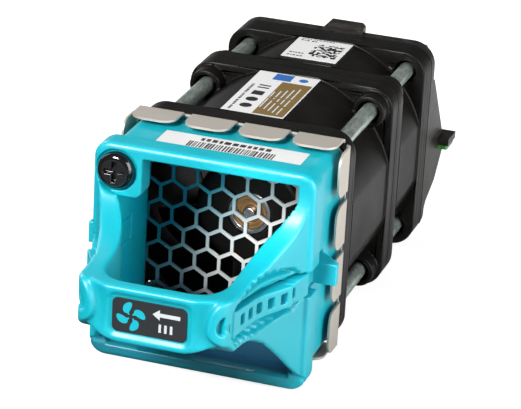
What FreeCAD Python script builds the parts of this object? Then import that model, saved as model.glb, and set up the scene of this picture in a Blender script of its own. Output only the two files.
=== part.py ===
"""Hot-swap server fan module: two counter-rotating 40 mm fans, a bezel with a pull handle, a rear connector.

Millimetres. X points right, Y in the direction the module slides into its bay, Z up. The origin is on the fan
axis, at the front face of the front fan, so the bezel lies at negative Y and the connector at the far end.
"""
import FreeCAD, Part
import math
import os
from types import SimpleNamespace

import Sketcher

Vector = FreeCAD.Vector
AXIS_X = Vector(1, 0, 0)
AXIS_Y = Vector(0, 1, 0)
AXIS_Z = Vector(0, 0, 1)
QUARTERS = (0, 90, 180, 270)

# ---------------------------------------------------------------- driving dimensions

SIZES = [
    ("frame_side", 40.0, "outside of the square flanges of both fans"),
    ("frame_corner", 4.5, "corner radius of the flanges"),
    ("bore_wall", 1.3, "flange left beside the bore of the ducts"),
    ("duct_wall", 1.7, "wall of the ducts between the flanges"),
    ("duct_flat_cut", 0.7, "how deep the four flats are cut into the duct wall"),
    ("rod_inset", 4.0, "tie rods from the sides of the flanges"),
    ("rod_radius", 1.5, "tie rods"),
    ("rod_clearance", 0.65, "rod holes in the flanges, wider than the rods all round"),
    ("rod_boss_wall", 0.95, "bosses round the rod holes at the middle flanges"),
    ("rod_boss_length", 3.0, "how far those bosses stand off the flange"),
    ("rod_seat", 2.4, "depth of the front flange that the rods leave to the bezel screw"),
    ("front_fan_length", 32.2, "front fan, flange face to flange face"),
    ("front_open_flange", 4.9, "front fan, flange at the air inlet"),
    ("front_base_flange", 3.7, "front fan, flange at the motor base"),
    ("rear_fan_length", 23.8, "rear fan, flange face to flange face"),
    ("rear_open_flange", 5.6, "rear fan, flange at the air outlet"),
    ("rear_base_flange", 3.6, "rear fan, flange at the motor base"),
    ("base_radius", 11.0, "motor base disc"),
    ("base_thickness", 1.5, "motor base disc"),
    ("strut_width", 1.6, "struts that carry the motor base"),
    ("strut_depth", 3.0, "struts, along the axis"),
    ("strut_count", 6, "struts on each motor base"),
    ("tube_radius", 3.9, "bearing tube, outside"),
    ("tube_wall", 0.9, "bearing tube"),
    ("bearing_width", 2.5, "ball bearings"),
    ("shaft_clearance", 0.03, "between the shafts and their bearings"),
    ("shaft_radius", 1.25, "rotor shafts"),
    ("tip_gap", 0.5, "between the blade tips and the duct bore"),
    ("hub_radius", 10.6, "impeller hub, outside"),
    ("hub_wall", 1.1, "impeller hub wall"),
    ("hub_inset", 6.6, "hub face behind the open face of its fan"),
    ("hub_window", 4.35, "radius of the opening in the hub face"),
    ("hub_gap", 1.2, "running gap between the hub rim and the motor base"),
    ("yoke_wall", 0.8, "steel yoke inside the hub"),
    ("magnet_wall", 1.2, "magnet ring inside the yoke"),
    ("air_gap", 0.35, "between magnet and stator"),
    ("bush_radius", 3.2, "bush that carries the shaft in the yoke"),
    ("stator_slots", 6, "stator teeth"),
    ("tooth_width", 1.7, "stator teeth"),
    ("slot_opening", 1.2, "gap between neighbouring stator shoes"),
    ("front_blades", 5, "blades of the front impeller"),
    ("rear_blades", 4, "blades of the rear impeller"),
    ("blade_thickness", 1.1, "impeller blades at mid chord"),
    ("board_thickness", 0.8, "motor drive boards"),
    ("guard_thickness", 0.4, "finger guard and spring finger strips"),
    ("cell_pitch", 4.7, "honeycomb, flat to flat with one web"),
    ("cell_web", 0.6, "honeycomb web"),
    ("cell_shift_x", -0.65, "honeycomb, a cell centre from the axis, sideways"),
    ("cell_shift_z", 0.2, "honeycomb, a cell centre from the axis, up"),
    ("guard_margin", 2.2, "plain border of the guard"),
    ("finger_length", 6.5, "spring fingers, forward of the front flange"),
    ("finger_gap", 1.7, "between spring fingers"),
    ("finger_lift", 0.4, "spring fingers, outside the front flange"),
    ("finger_foot", 0.5, "foot of the spring finger strips, inside the edge of the front flange"),
    ("finger_count", 4, "spring fingers on each side"),
    ("finger_corner", 2.4, "rounded front corners of the fingers"),
    ("rim_side", 40.6, "square front rim of the bezel"),
    ("rim_corner", 3.0, "rim corner radius"),
    ("rim_front", 20.2, "rim face in front of the front fan"),
    ("rim_depth", 4.6, "rim along the axis"),
    ("sleeve_step", 1.4, "the rim stands out from the sleeve behind it"),
    ("sleeve_wall", 1.8, "sleeve round the air path"),
    ("rim_lip", 2.2, "rim above and below its opening"),
    ("handle_front", 45.2, "front face of the handle in front of the front fan"),
    ("handle_half_height", 5.1, "half the height of the handle bar"),
    ("handle_wall", 3.1, "thickness of the handle bar at the front"),
    ("handle_half_width", 13.9, "half the width of the handle near its front"),
    ("handle_corner", 4.2, "front corners of the handle"),
    ("screw_drop", 0.6, "bezel screw below the line of the upper tie rods"),
    ("screw_head_radius", 3.35, "bezel screw heads"),
    ("screw_head_height", 1.9, "bezel screw heads"),
    ("screw_radius", 1.5, "bezel screw shanks"),
    ("screw_boss", 4.7, "half the side of the square boss round the bezel screw"),
    ("label_width", 13.2, "direction label"),
    ("label_height", 6.1, "direction label"),
    ("label_depth", 0.6, "recess round the direction label"),
    ("sticker_thickness", 0.12, "printed labels"),
    ("barcode_width", 26.5, "label on top of the bezel"),
    ("front_sticker_width", 11.8, "label on the front fan"),
    ("rear_sticker_width", 10.9, "label on the rear fan"),
    ("lever_thickness", 1.6, "latch levers"),
    ("lever_pivot_depth", 3.8, "latch pivots behind the handle's front face"),
    ("lever_pivot_inset", 2.0, "latch pivots inside the handle's sides"),
    ("lever_knuckle", 1.15, "latch pivot stubs, radius"),
    ("lever_swing", 6.0, "latch travel, in degrees"),
    ("lever_clearance", 0.35, "between the latch levers and the bezel"),
    ("hook_reach", 2.8, "tip of the latch hook outside the rim"),
    ("hook_setback", 1.3, "catch face of the latch hook behind the rim"),
    ("hook_length", 5.4, "latch hook along the axis"),
    ("hook_half_height", 2.0, "half the height of the latch hook"),
    ("plate_thickness", 2.2, "rear bracket plate"),
    ("wing_thickness", 1.8, "side wing of the rear bracket"),
    ("nose_reach", 15.0, "connector board, beyond the rear fan"),
    ("circuit_thickness", 1.6, "connector board"),
    ("board_drop", 3.9, "connector board's upper face below the fan axis"),
    ("shelf_thickness", 1.4, "shelf of the rear bracket over the board"),
    ("tongue_left", 6.0, "left edge of the board's tongue from the fan axis"),
    ("pad_pitch", 1.6, "contact pads"),
    ("pad_width", 1.0, "contact pads"),
    ("pad_length", 2.9, "contact pads"),
    ("pad_count", 7, "contact pads"),
    ("pad_thickness", 0.05, "contact pads"),
    ("board_screw_pitch", 8.5, "screws that hold the connector board"),
    ("board_screw_radius", 0.75, "shanks of those screws"),
    ("board_screw_head", 1.6, "heads of those screws, radius"),
    ("nut_radius", 3.1, "rod nuts, across corners"),
    ("nut_height", 2.4, "rod nuts"),
]

doc = FreeCAD.newDocument("ServerFanModule")
sheet = doc.addObject("Spreadsheet::Sheet", "Sizes")
for row, (alias, value, meaning) in enumerate(SIZES, start=1):
    sheet.set(f"A{row}", meaning)
    sheet.set(f"B{row}", str(value))
    sheet.setAlias(f"B{row}", alias)
doc.recompute()
S = SimpleNamespace(**{alias: float(sheet.get(alias)) for alias, value, meaning in SIZES})
NODES = []

# ---------------------------------------------------------------- helpers: bodies, sketches, features


def cells(formula):
    """A formula in plain size names, with each name pointed at its cell in the sheet."""
    words = formula.replace("(", " ( ").replace(")", " ) ").split()
    return " ".join(f"Sizes.{word}" if hasattr(S, word) else word for word in words)


def new_body(label, y=None, turned=False):
    """A PartDesign body; y places its local front along the axis, and turned faces it the other way."""
    body = doc.addObject("PartDesign::Body", label)
    body.Label = label
    if turned:
        body.Placement = FreeCAD.Placement(Vector(), FreeCAD.Rotation(AXIS_Z, 180))
    if y is not None:
        body.setExpression(".Placement.Base.y", cells(y))
    NODES.append(body)
    return body


def origin_plane(body, role):
    return next(f for f in body.Origin.OriginFeatures if f.Role == role)


def new_sketch(body, name, offset="0", role="XZ_Plane"):
    """A sketch on one of the body's own planes; offset moves it along +Y (XZ), +Z (XY) or +X (YZ)."""
    sketch = body.newObject("Sketcher::SketchObject", f"{body.Name}_{name}")
    sketch.AttachmentSupport = [(origin_plane(body, role), "")]
    sketch.MapMode = "FlatFace"
    sign = "-1 * " if role == "XZ_Plane" else ""
    sketch.setExpression(".AttachmentOffset.Base.z", cells(f"{sign}( {offset} )"))
    return sketch


def place_point(sketch, geometry, point, across, up):
    for kind, formula in (("DistanceX", across), ("DistanceY", up)):
        index = sketch.addConstraint(Sketcher.Constraint(kind, -1, 1, geometry, point, 1.0))
        sketch.setExpression(f"Constraints[{index}]", cells(formula))


def draw_polygon(sketch, corners):
    """A closed outline through corners, each a pair of formulas."""
    count = len(corners)
    turn = 2 * math.pi / count
    starts = [Vector(9 * math.cos(i * turn), 9 * math.sin(i * turn), 0) for i in range(count)]
    first = sketch.GeometryCount
    for i in range(count):
        sketch.addGeometry(Part.LineSegment(starts[i], starts[(i + 1) % count]), False)
    for i in range(count):
        following = first + (i + 1) % count
        sketch.addConstraint(Sketcher.Constraint("Coincident", first + i, 2, following, 1))
    for i, (across, up) in enumerate(corners):
        place_point(sketch, first + i, 1, across, up)


def draw_rectangle(sketch, width, height, across="0", up="0"):
    left, right = (f"( {across} ) {sign} ( {width} ) / 2" for sign in "-+")
    low, high = (f"( {up} ) {sign} ( {height} ) / 2" for sign in "-+")
    draw_polygon(sketch, [(left, low), (right, low), (right, high), (left, high)])


def draw_circle(sketch, radius, across="0", up="0"):
    circle = sketch.addGeometry(Part.Circle(Vector(1, 1, 0), AXIS_Z, 3), False)
    index = sketch.addConstraint(Sketcher.Constraint("Radius", circle, 3.0))
    sketch.setExpression(f"Constraints[{index}]", cells(radius))
    place_point(sketch, circle, 3, across, up)


def add_pad(body, sketch, length, backwards=True):
    """Extrude a sketch; backwards runs a sketch of the XZ plane along +Y."""
    pad = body.newObject("PartDesign::Pad", f"{sketch.Name}_pad")
    pad.Profile = sketch
    pad.Reversed = backwards
    pad.setExpression("Length", cells(length))
    doc.recompute()
    return pad


def add_pocket(body, sketch, length=None):
    """Cut along +Y from a sketch of the XZ plane, to a depth or right through, and check that it cut."""
    before = body.Shape.Volume
    pocket = body.newObject("PartDesign::Pocket", f"{sketch.Name}_cut")
    pocket.Profile = sketch
    if length is None:
        pocket.Type = "ThroughAll"
    else:
        pocket.setExpression("Length", cells(length))
    doc.recompute()
    if not pocket.Shape.Volume < before - 1e-6:
        raise RuntimeError(f"{pocket.Name} cuts nothing")
    return pocket


def add_ring_pattern(body, feature, count):
    """Repeat a feature round the module's axis; count is a number or a size name."""
    pattern = body.newObject("PartDesign::PolarPattern", f"{feature.Name}_round")
    pattern.Originals = [feature]
    pattern.Axis = (origin_plane(body, "Y_Axis"), [""])
    pattern.Angle = 360
    if isinstance(count, int):
        pattern.Occurrences = count
    else:
        pattern.setExpression("Occurrences", cells(count))
    body.Tip = pattern
    doc.recompute()
    return pattern


def turned_part(label, profile, y=None, turned=False):
    """A body of revolution about the module's axis; profile is a list of (radius, y) formulas."""
    body = new_body(label, y, turned)
    sketch = new_sketch(body, "profile", role="XY_Plane")
    draw_polygon(sketch, profile)
    revolution = body.newObject("PartDesign::Revolution", f"{label}_turn")
    revolution.Profile = sketch
    revolution.ReferenceAxis = (sketch, ["V_Axis"])
    revolution.Angle = 360
    doc.recompute()
    return body


def ring_profile(inner, outer, start, end):
    return [(inner, start), (outer, start), (outer, end), (inner, end)]


def round_edges(body, radius, wanted):
    """Fillet the edges of the body's tip that the test picks."""
    base = body.Tip
    names = [f"Edge{i}" for i, edge in enumerate(base.Shape.Edges, start=1) if wanted(edge)]
    fillet = body.newObject("PartDesign::Fillet", f"{body.Name}_rounds")
    fillet.Base = (base, names)
    fillet.setExpression("Radius", cells(radius))
    doc.recompute()
    return fillet


def along(edge, axis):
    ends = [vertex.Point for vertex in edge.Vertexes]
    if len(ends) != 2 or (ends[1] - ends[0]).Length < 1e-6:
        return False
    return abs(abs((ends[1] - ends[0]).normalize().dot(axis)) - 1) < 1e-6


def add_shape(label, shape, placement=None):
    """A node whose shape is made by the functions below."""
    feature = doc.addObject("Part::Feature", label)
    feature.Label = label
    feature.Shape = shape
    feature.Placement = placement or FreeCAD.Placement()
    NODES.append(feature)
    return feature


def block(x_span, y_span, z_span):
    corner = Vector(x_span[0], y_span[0], z_span[0])
    spans = (x_span, y_span, z_span)
    return Part.makeBox(*[high - low for low, high in spans], corner)


def rod(radius, start, end, x=0.0, z=0.0):
    return Part.makeCylinder(radius, end - start, Vector(x, start, z), AXIS_Y)


def turned_about_axis(shape, degrees):
    copy = shape.copy()
    copy.rotate(Vector(), AXIS_Y, degrees)
    return copy


def mirrored_x(shape):
    return shape.mirror(Vector(), AXIS_X)


# ---------------------------------------------------------------- fans

BORE_RADIUS = "( frame_side / 2 - bore_wall )"
DUCT_RADIUS = f"( {BORE_RADIUS} + duct_wall )"
DUCT_FLAT = f"( {DUCT_RADIUS} - duct_flat_cut )"
ROD_PLACE = "( frame_side / 2 - rod_inset )"
ROD_HOLE = "( rod_radius + rod_clearance )"
TUBE_BORE = "( tube_radius - tube_wall )"
BORE = S.frame_side / 2 - S.bore_wall
TIP = BORE - S.tip_gap
ROD_AT = S.frame_side / 2 - S.rod_inset
FANS = [
    SimpleNamespace(name="front", length="front_fan_length", inlet="front_open_flange",
                    base="front_base_flange", start="0", turned=False, blades=int(S.front_blades)),
    SimpleNamespace(name="rear", length="rear_fan_length", inlet="rear_open_flange",
                    base="rear_base_flange", start="front_fan_length + rear_fan_length", turned=True,
                    blades=int(S.rear_blades)),
]
YOKE_RADIUS = "( hub_radius - hub_wall )"
MAGNET_RADIUS = f"( {YOKE_RADIUS} - yoke_wall )"
STATOR_RADIUS = f"( {MAGNET_RADIUS} - magnet_wall - air_gap )"
PLATE_FRONT = "( hub_inset + hub_wall )"
PLATE_BACK = f"( {PLATE_FRONT} + yoke_wall )"
CORE_FRONT = f"( {PLATE_BACK} + 2.4 )"


def hub_rim(fan):
    return f"( {fan.length} - strut_depth - hub_gap )"


def core_length(fan):
    return f"( {hub_rim(fan)} - 2.2 - {CORE_FRONT} )"


def make_fan_frame(fan):
    """Square flanges joined by a duct with four flats, a motor base on struts and bosses round the rods."""
    body = new_body(f"{fan.name}_fan_frame", fan.start, fan.turned)
    duct_length = f"{fan.length} - {fan.inlet} - {fan.base}"
    base_start = f"{fan.length} - {fan.base}"
    flange = new_sketch(body, "inlet_flange")
    draw_rectangle(flange, "frame_side", "frame_side")
    add_pad(body, flange, fan.inlet)
    duct = new_sketch(body, "duct", fan.inlet)
    draw_circle(duct, DUCT_RADIUS)
    add_pad(body, duct, duct_length)
    flats = new_sketch(body, "flats", fan.inlet)
    draw_rectangle(flats, "2 * frame_side", "2 * frame_side")
    draw_rectangle(flats, f"2 * {DUCT_FLAT}", f"2 * {DUCT_FLAT}")
    add_pocket(body, flats, duct_length)
    base = new_sketch(body, "base_flange", base_start)
    draw_rectangle(base, "frame_side", "frame_side")
    add_pad(body, base, fan.base)
    half = S.frame_side / 2
    round_edges(body, "frame_corner", lambda edge: along(edge, AXIS_Y)
                and all(abs(abs(v.Point.x) - half) < 1e-3 and abs(abs(v.Point.z) - half) < 1e-3
                        for v in edge.Vertexes))
    boss = new_sketch(body, "rod_boss", f"{base_start} - rod_boss_length")
    draw_circle(boss, f"{ROD_HOLE} + rod_boss_wall", ROD_PLACE, ROD_PLACE)
    add_ring_pattern(body, add_pad(body, boss, "rod_boss_length"), 4)
    bore = new_sketch(body, "bore")
    draw_circle(bore, BORE_RADIUS)
    add_pocket(body, bore)
    hole = new_sketch(body, "rod_hole")
    draw_circle(hole, ROD_HOLE, ROD_PLACE, ROD_PLACE)
    add_ring_pattern(body, add_pocket(body, hole), 4)
    strut = new_sketch(body, "strut", f"{fan.length} - strut_depth")
    root, tip = "( base_radius - base_thickness )", f"( {BORE_RADIUS} + bore_wall / 3 )"
    draw_rectangle(strut, "strut_width", f"{tip} - {root}", "0", f"( {tip} + {root} ) / 2")
    add_ring_pattern(body, add_pad(body, strut, "strut_depth"), "strut_count")
    disc = new_sketch(body, "motor_base", f"{fan.length} - base_thickness")
    draw_circle(disc, "base_radius")
    draw_circle(disc, "tube_radius")
    add_pad(body, disc, "base_thickness")
    return body


def make_stator(fan):
    """Bearing tube, two bearings, laminated core, six coils and the drive board of one motor."""
    tube_front = f"( {PLATE_BACK} + 1.2 )"
    turned_part(f"{fan.name}_bearing_tube",
                ring_profile(TUBE_BORE, "tube_radius", tube_front, f"{fan.length} - 0.3"),
                fan.start, fan.turned)
    bearings = new_body(f"{fan.name}_bearings", fan.start, fan.turned)
    races = new_sketch(bearings, "races", role="XY_Plane")
    race_bore = "shaft_radius + shaft_clearance"
    for start in (tube_front, f"{fan.length} - base_thickness - bearing_width"):
        draw_polygon(races, ring_profile(race_bore, TUBE_BORE, start, f"{start} + bearing_width"))
    turn = bearings.newObject("PartDesign::Revolution", f"{fan.name}_bearings_turn")
    turn.Profile = races
    turn.ReferenceAxis = (races, ["V_Axis"])
    turn.Angle = 360

    core = new_body(f"{fan.name}_stator_core", fan.start, fan.turned)
    shoes = new_sketch(core, "shoes", CORE_FRONT)
    draw_circle(shoes, STATOR_RADIUS)
    draw_circle(shoes, f"{STATOR_RADIUS} - 0.9")
    add_pad(core, shoes, core_length(fan))
    tooth = new_sketch(core, "tooth", CORE_FRONT)
    draw_rectangle(tooth, "tooth_width", f"{STATOR_RADIUS} - 0.5 - tube_radius", "0",
                   f"( {STATOR_RADIUS} - 0.5 + tube_radius ) / 2 + 0.2")
    add_ring_pattern(core, add_pad(core, tooth, core_length(fan)), "stator_slots")
    hub = new_sketch(core, "core_ring", CORE_FRONT)
    draw_circle(hub, "tube_radius + 0.8")
    draw_circle(hub, "tube_radius")
    add_pad(core, hub, core_length(fan))
    slot = new_sketch(core, "slot", CORE_FRONT)
    half_slot = 180.0 / S.stator_slots
    across = f"{math.sin(math.radians(half_slot)):.6f} * ( {STATOR_RADIUS} - 0.45 )"
    upward = f"{math.cos(math.radians(half_slot)):.6f} * ( {STATOR_RADIUS} - 0.45 )"
    draw_circle(slot, "slot_opening", across, upward)
    add_ring_pattern(core, add_pocket(core, slot), "stator_slots")

    coils = new_body(f"{fan.name}_stator_coils", fan.start, fan.turned)
    winding = new_sketch(coils, "winding", "tube_radius + 1.0", role="YZ_Plane")
    middle = f"{CORE_FRONT} + {core_length(fan)} / 2"
    draw_rectangle(winding, f"{core_length(fan)} + 1.8", "tooth_width + 1.5", middle, "0")
    draw_rectangle(winding, f"{core_length(fan)} + 0.1", "tooth_width + 0.1", middle, "0")
    wound = add_pad(coils, winding, f"{STATOR_RADIUS} - 1.1 - tube_radius - 1.0", backwards=False)
    add_ring_pattern(coils, wound, "stator_slots")

    board = new_body(f"{fan.name}_drive_board", fan.start, fan.turned)
    disc = new_sketch(board, "board", f"{fan.length} - base_thickness - 0.3 - board_thickness")
    draw_circle(disc, "base_radius - 1.8")
    draw_circle(disc, "tube_radius + 0.15")
    add_pad(board, disc, "board_thickness")
    posts = new_sketch(board, "posts", f"{fan.length} - base_thickness - 0.35")
    draw_circle(posts, "0.7", "0", "base_radius - 3.2")
    add_ring_pattern(board, add_pad(board, posts, "0.35"), 3)


def make_rotor(fan):
    """Impeller, steel yoke, magnet ring, bush and shaft: everything that turns in one fan."""
    rim = hub_rim(fan)
    turned_part(f"{fan.name}_rotor_yoke", [
        ("bush_radius", "hub_inset + 0.3"),
        ("hub_window - 0.25", "hub_inset + 0.3"),
        ("hub_window - 0.25", PLATE_FRONT),
        (YOKE_RADIUS, PLATE_FRONT),
        (YOKE_RADIUS, rim),
        (MAGNET_RADIUS, rim),
        (MAGNET_RADIUS, PLATE_BACK),
        ("bush_radius", PLATE_BACK),
    ], fan.start, fan.turned)
    magnet = ring_profile(f"{MAGNET_RADIUS} - magnet_wall", MAGNET_RADIUS, f"{PLATE_BACK} + 1.2",
                          f"{rim} - 0.6")
    turned_part(f"{fan.name}_magnet_ring", magnet, fan.start, fan.turned)
    turned_part(f"{fan.name}_hub_bush", [
        ("shaft_radius", "hub_inset + 1.1"),
        ("bush_radius - 0.9", "hub_inset + 1.1"),
        ("bush_radius - 0.9", "hub_inset + 0.7"),
        ("bush_radius", "hub_inset + 0.7"),
        ("bush_radius", f"{PLATE_BACK} + 0.8"),
        ("shaft_radius", f"{PLATE_BACK} + 0.8"),
    ], fan.start, fan.turned)
    turned_part(f"{fan.name}_shaft", [
        ("0", "hub_inset - 0.2"),
        ("shaft_radius - 0.2", "hub_inset - 0.2"),
        ("shaft_radius", "hub_inset"),
        ("shaft_radius", f"{fan.length} - 1.0"),
        ("0", f"{fan.length} - 1.0"),
    ], fan.start, fan.turned)
    turn = FreeCAD.Rotation(AXIS_Z, 180 if fan.turned else 0)
    start = S.front_fan_length + S.rear_fan_length if fan.turned else 0.0
    add_shape(f"{fan.name}_impeller", impeller_shape(fan), FreeCAD.Placement(Vector(0, start, 0), turn))


def blade_section(x, start, end, sweep):
    """A thin cambered section in the plane at x; sweep is how far its trailing edge is carried round."""
    leading = Vector(x, start, -sweep / 2)
    trailing = Vector(x, end, sweep / 2)
    chord = trailing - leading
    normal = Vector(0, -chord.z, chord.y).normalize()
    middle = (leading + trailing) / 2 + normal * 0.13 * chord.Length
    thick = normal * S.blade_thickness / 2
    back = Part.Arc(leading, middle + thick, trailing).toShape()
    front = Part.Arc(trailing, middle - thick, leading).toShape()
    return Part.Wire([back, front])


def impeller_shape(fan):
    """Hub cup with a window for the shaft end, and curved blades trimmed to the tip circle."""
    length = getattr(S, fan.length)
    rim = length - S.strut_depth - S.hub_gap
    cup = rod(S.hub_radius, S.hub_inset, rim)
    nose = [edge for edge in cup.Edges if abs(edge.BoundBox.YMax - S.hub_inset) < 1e-6 and edge.Closed]
    cup = cup.makeFillet(1.6, nose)
    cup = cup.cut(rod(S.hub_radius - S.hub_wall, S.hub_inset + S.hub_wall, rim + 1))
    cup = cup.cut(rod(S.hub_window, S.hub_inset - 1, S.hub_inset + S.hub_wall + 1))
    start = S.hub_inset + 1.2
    end = rim - 0.4
    depth = end - start
    middle = 0.5 * (S.hub_radius + TIP)
    sections = [(S.hub_radius - 3.6, 0.55), (middle, 0.8), (TIP + S.tip_gap, 1.0)]
    wires = [blade_section(x, start, end, share * depth) for x, share in sections]
    blade = Part.makeLoft(wires, True, False)
    annulus = rod(TIP, start - 1, end + 1)
    annulus = annulus.cut(rod(S.hub_radius - S.hub_wall / 2, start - 2, end + 2))
    blade = blade.common(annulus)
    blades = [turned_about_axis(blade, 360.0 * i / fan.blades) for i in range(fan.blades)]
    return cup.multiFuse(blades)


for fan in FANS:
    make_fan_frame(fan)
    make_stator(fan)
    make_rotor(fan)

# ---------------------------------------------------------------- bezel and handle

RIM = S.rim_side / 2
RIM_FRONT = -S.rim_front
RIM_BACK = RIM_FRONT + S.rim_depth
GUARD_FRONT = -S.guard_thickness
HANDLE_FRONT = -S.handle_front
MOUTH = RIM - S.rim_lip
SLEEVE = RIM - S.sleeve_step
OPENING = SLEEVE - S.sleeve_wall
MIDDLE = 0.25  # the handle, label and latches sit this far above the fan axis
SCREW_X = -ROD_AT
SCREW_Z = ROD_AT - S.screw_drop
SCREW_SEAT = 0.6  # the screw head's seat lies this far behind the rim's face


def square_prism(side, corner, start, end):
    """A square bar along the axis with rounded long edges."""
    half = side / 2
    bar = block((-half, half), (start, end), (-half, half))
    if corner <= 0:
        return bar
    return bar.makeFillet(corner, [edge for edge in bar.Edges if along(edge, AXIS_Y)])


def curve(points):
    spline = Part.BSplineCurve()
    spline.interpolate([Vector(*point) for point in points])
    return spline


def mirror_points(points):
    return [(-x, y, z) for x, y, z in reversed(points)]


def plan_prism(side, corner, front):
    """The handle's outline seen from above, run up and down: side goes from the rim to the front corner."""
    reach = RIM_FRONT + 0.5 * S.rim_depth
    right = [(x, y, -RIM) for x, y in side]
    last_x, last_y, low = right[-1]
    right_curve = curve(right).toShape()
    inset = corner * (1 - math.sqrt(0.5))
    bend = Vector(last_x - inset, front + inset, low)
    corner_end = Vector(last_x - corner, front, low)
    right_bend = Part.Arc(Vector(*right[-1]), bend, corner_end).toShape()
    left_bend = Part.Arc(Vector(-corner_end.x, front, low), Vector(-bend.x, bend.y, low),
                         Vector(-last_x, last_y, low)).toShape()
    face_line = Part.LineSegment(corner_end, Vector(-corner_end.x, front, low)).toShape()
    left_curve = curve(mirror_points(right)).toShape()
    root_x, root_y = side[0]
    corners = [Vector(-root_x, root_y, low), Vector(-root_x, reach, low), Vector(root_x, reach, low),
               Vector(root_x, root_y, low)]
    back = [Part.LineSegment(corners[i], corners[i + 1]).toShape() for i in range(3)]
    outline = Part.Wire([right_curve, right_bend, face_line, left_bend, left_curve] + back)
    return Part.Face(outline).extrude(Vector(0, 0, 2 * RIM))


def outer_side(inset=0.0):
    """Cheek of the handle from the rim forwards, as (x, y); inset brings it inwards."""
    half = S.handle_half_width - inset
    return [(RIM - 1.0 - inset, RIM_FRONT), (half + 3.7, RIM_FRONT - 3.5), (half + 1.9, RIM_FRONT - 8.2),
            (half + 0.6, RIM_FRONT - 14.0), (half, HANDLE_FRONT + S.handle_corner)]


def inner_side():
    half = S.handle_half_width - S.handle_wall
    return [(OPENING + 0.6, RIM_FRONT), (half + 4.0, RIM_FRONT - 1.8), (half + 1.7, RIM_FRONT - 5.4),
            (half + 0.6, RIM_FRONT - 9.3), (half + 0.1, RIM_FRONT - 15.0),
            (half, HANDLE_FRONT + S.handle_wall + S.handle_corner - 1.6)]


def side_profile():
    """The handle seen from the side: a bar in front that spreads to the full height of the rim."""
    half = S.handle_half_height
    above = [(HANDLE_FRONT - 1, half), (RIM_FRONT - 15, half + 0.15), (RIM_FRONT - 8.8, half + 1.5),
             (RIM_FRONT - 5.4, half + 3.2), (RIM_FRONT - 1.7, half + 6.4), (RIM_FRONT - 0.3, half + 9.6),
             (RIM_FRONT, MOUTH - 0.4)]
    below = [(HANDLE_FRONT - 1, -half), (RIM_FRONT - 18.0, -half), (RIM_FRONT - 12.8, -half - 1.0),
             (RIM_FRONT - 7.3, -half - 4.6), (RIM_FRONT - 3.4, -half - 8.6), (RIM_FRONT - 0.6, -half - 11.8),
             (RIM_FRONT, -MOUTH + 0.4)]
    left = -2 * RIM
    upper = curve([(left, y, z + MIDDLE) for y, z in above]).toShape()
    lower = curve([(left, y, z + MIDDLE) for y, z in below]).toShape()
    first, last = upper.Vertexes[0].Point, upper.Vertexes[-1].Point
    low_first, low_last = lower.Vertexes[0].Point, lower.Vertexes[-1].Point
    back_top, back_low = Vector(left, RIM_BACK, last.z), Vector(left, RIM_BACK, low_last.z)
    lines = [(first, low_first), (low_last, back_low), (back_low, back_top), (back_top, last)]
    edges = [Part.LineSegment(a, b).toShape() for a, b in lines]
    outline = Part.Wire(Part.__sortEdges__([upper, lower] + edges))
    return Part.Face(outline).extrude(Vector(4 * RIM, 0, 0))


def lens_prism():
    """The almond-shaped finger bowl in each cheek, run right across the handle."""
    left = -2 * RIM
    tip = Vector(left, HANDLE_FRONT + 1.2, MIDDLE)
    high_end = Vector(left, RIM_FRONT - 1.0, MIDDLE + 2.9)
    low_end = Vector(left, RIM_FRONT - 1.0, MIDDLE - 2.9)
    middle_y = 0.5 * (HANDLE_FRONT + RIM_FRONT)
    upper = Part.Arc(tip, Vector(left, middle_y + 1.5, MIDDLE + 4.6), high_end).toShape()
    lower = Part.Arc(low_end, Vector(left, middle_y - 2.0, MIDDLE - 4.2), tip).toShape()
    back = Part.LineSegment(high_end, low_end).toShape()
    return Part.Face(Part.Wire([upper, back, lower])).extrude(Vector(4 * RIM, 0, 0))


def handle_shape():
    outer = plan_prism(outer_side(), S.handle_corner, HANDLE_FRONT)
    inner = plan_prism(inner_side(), S.handle_corner - 1.6, HANDLE_FRONT + S.handle_wall)
    bar = outer.cut(inner).common(side_profile())
    skin = outer.cut(plan_prism(outer_side(0.7), S.handle_corner, HANDLE_FRONT - 1))
    bar = bar.cut(skin.common(lens_prism()))
    for side in (-1, 1):
        for step in range(7):
            y = RIM_FRONT - 6.5 - 2.1 * step
            high = MIDDLE + 4.75 - 0.045 * (step - 3) ** 2
            low = MIDDLE - 4.25 + 0.05 * (step - 3) ** 2
            for z in (high - 0.9, low - 0.2):
                rib = Part.makeCylinder(0.4, 1.1, Vector(0, y, z), AXIS_Z)
                near = S.handle_half_width - 0.55 + 2.3 * max(0.0, (y - RIM_FRONT + 14) / 9) ** 1.4
                rib.translate(Vector(side * near, 0, 0))
                bar = bar.fuse(rib)
    half_w = S.label_width / 2 + 0.8
    half_h = S.label_height / 2 + 0.8
    recess = block((-half_w, half_w), (HANDLE_FRONT - 1, HANDLE_FRONT + S.label_depth),
                   (MIDDLE - half_h, MIDDLE + half_h))
    recess = recess.makeFillet(1.2, [edge for edge in recess.Edges if along(edge, AXIS_Y)])
    return bar.cut(recess)


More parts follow.
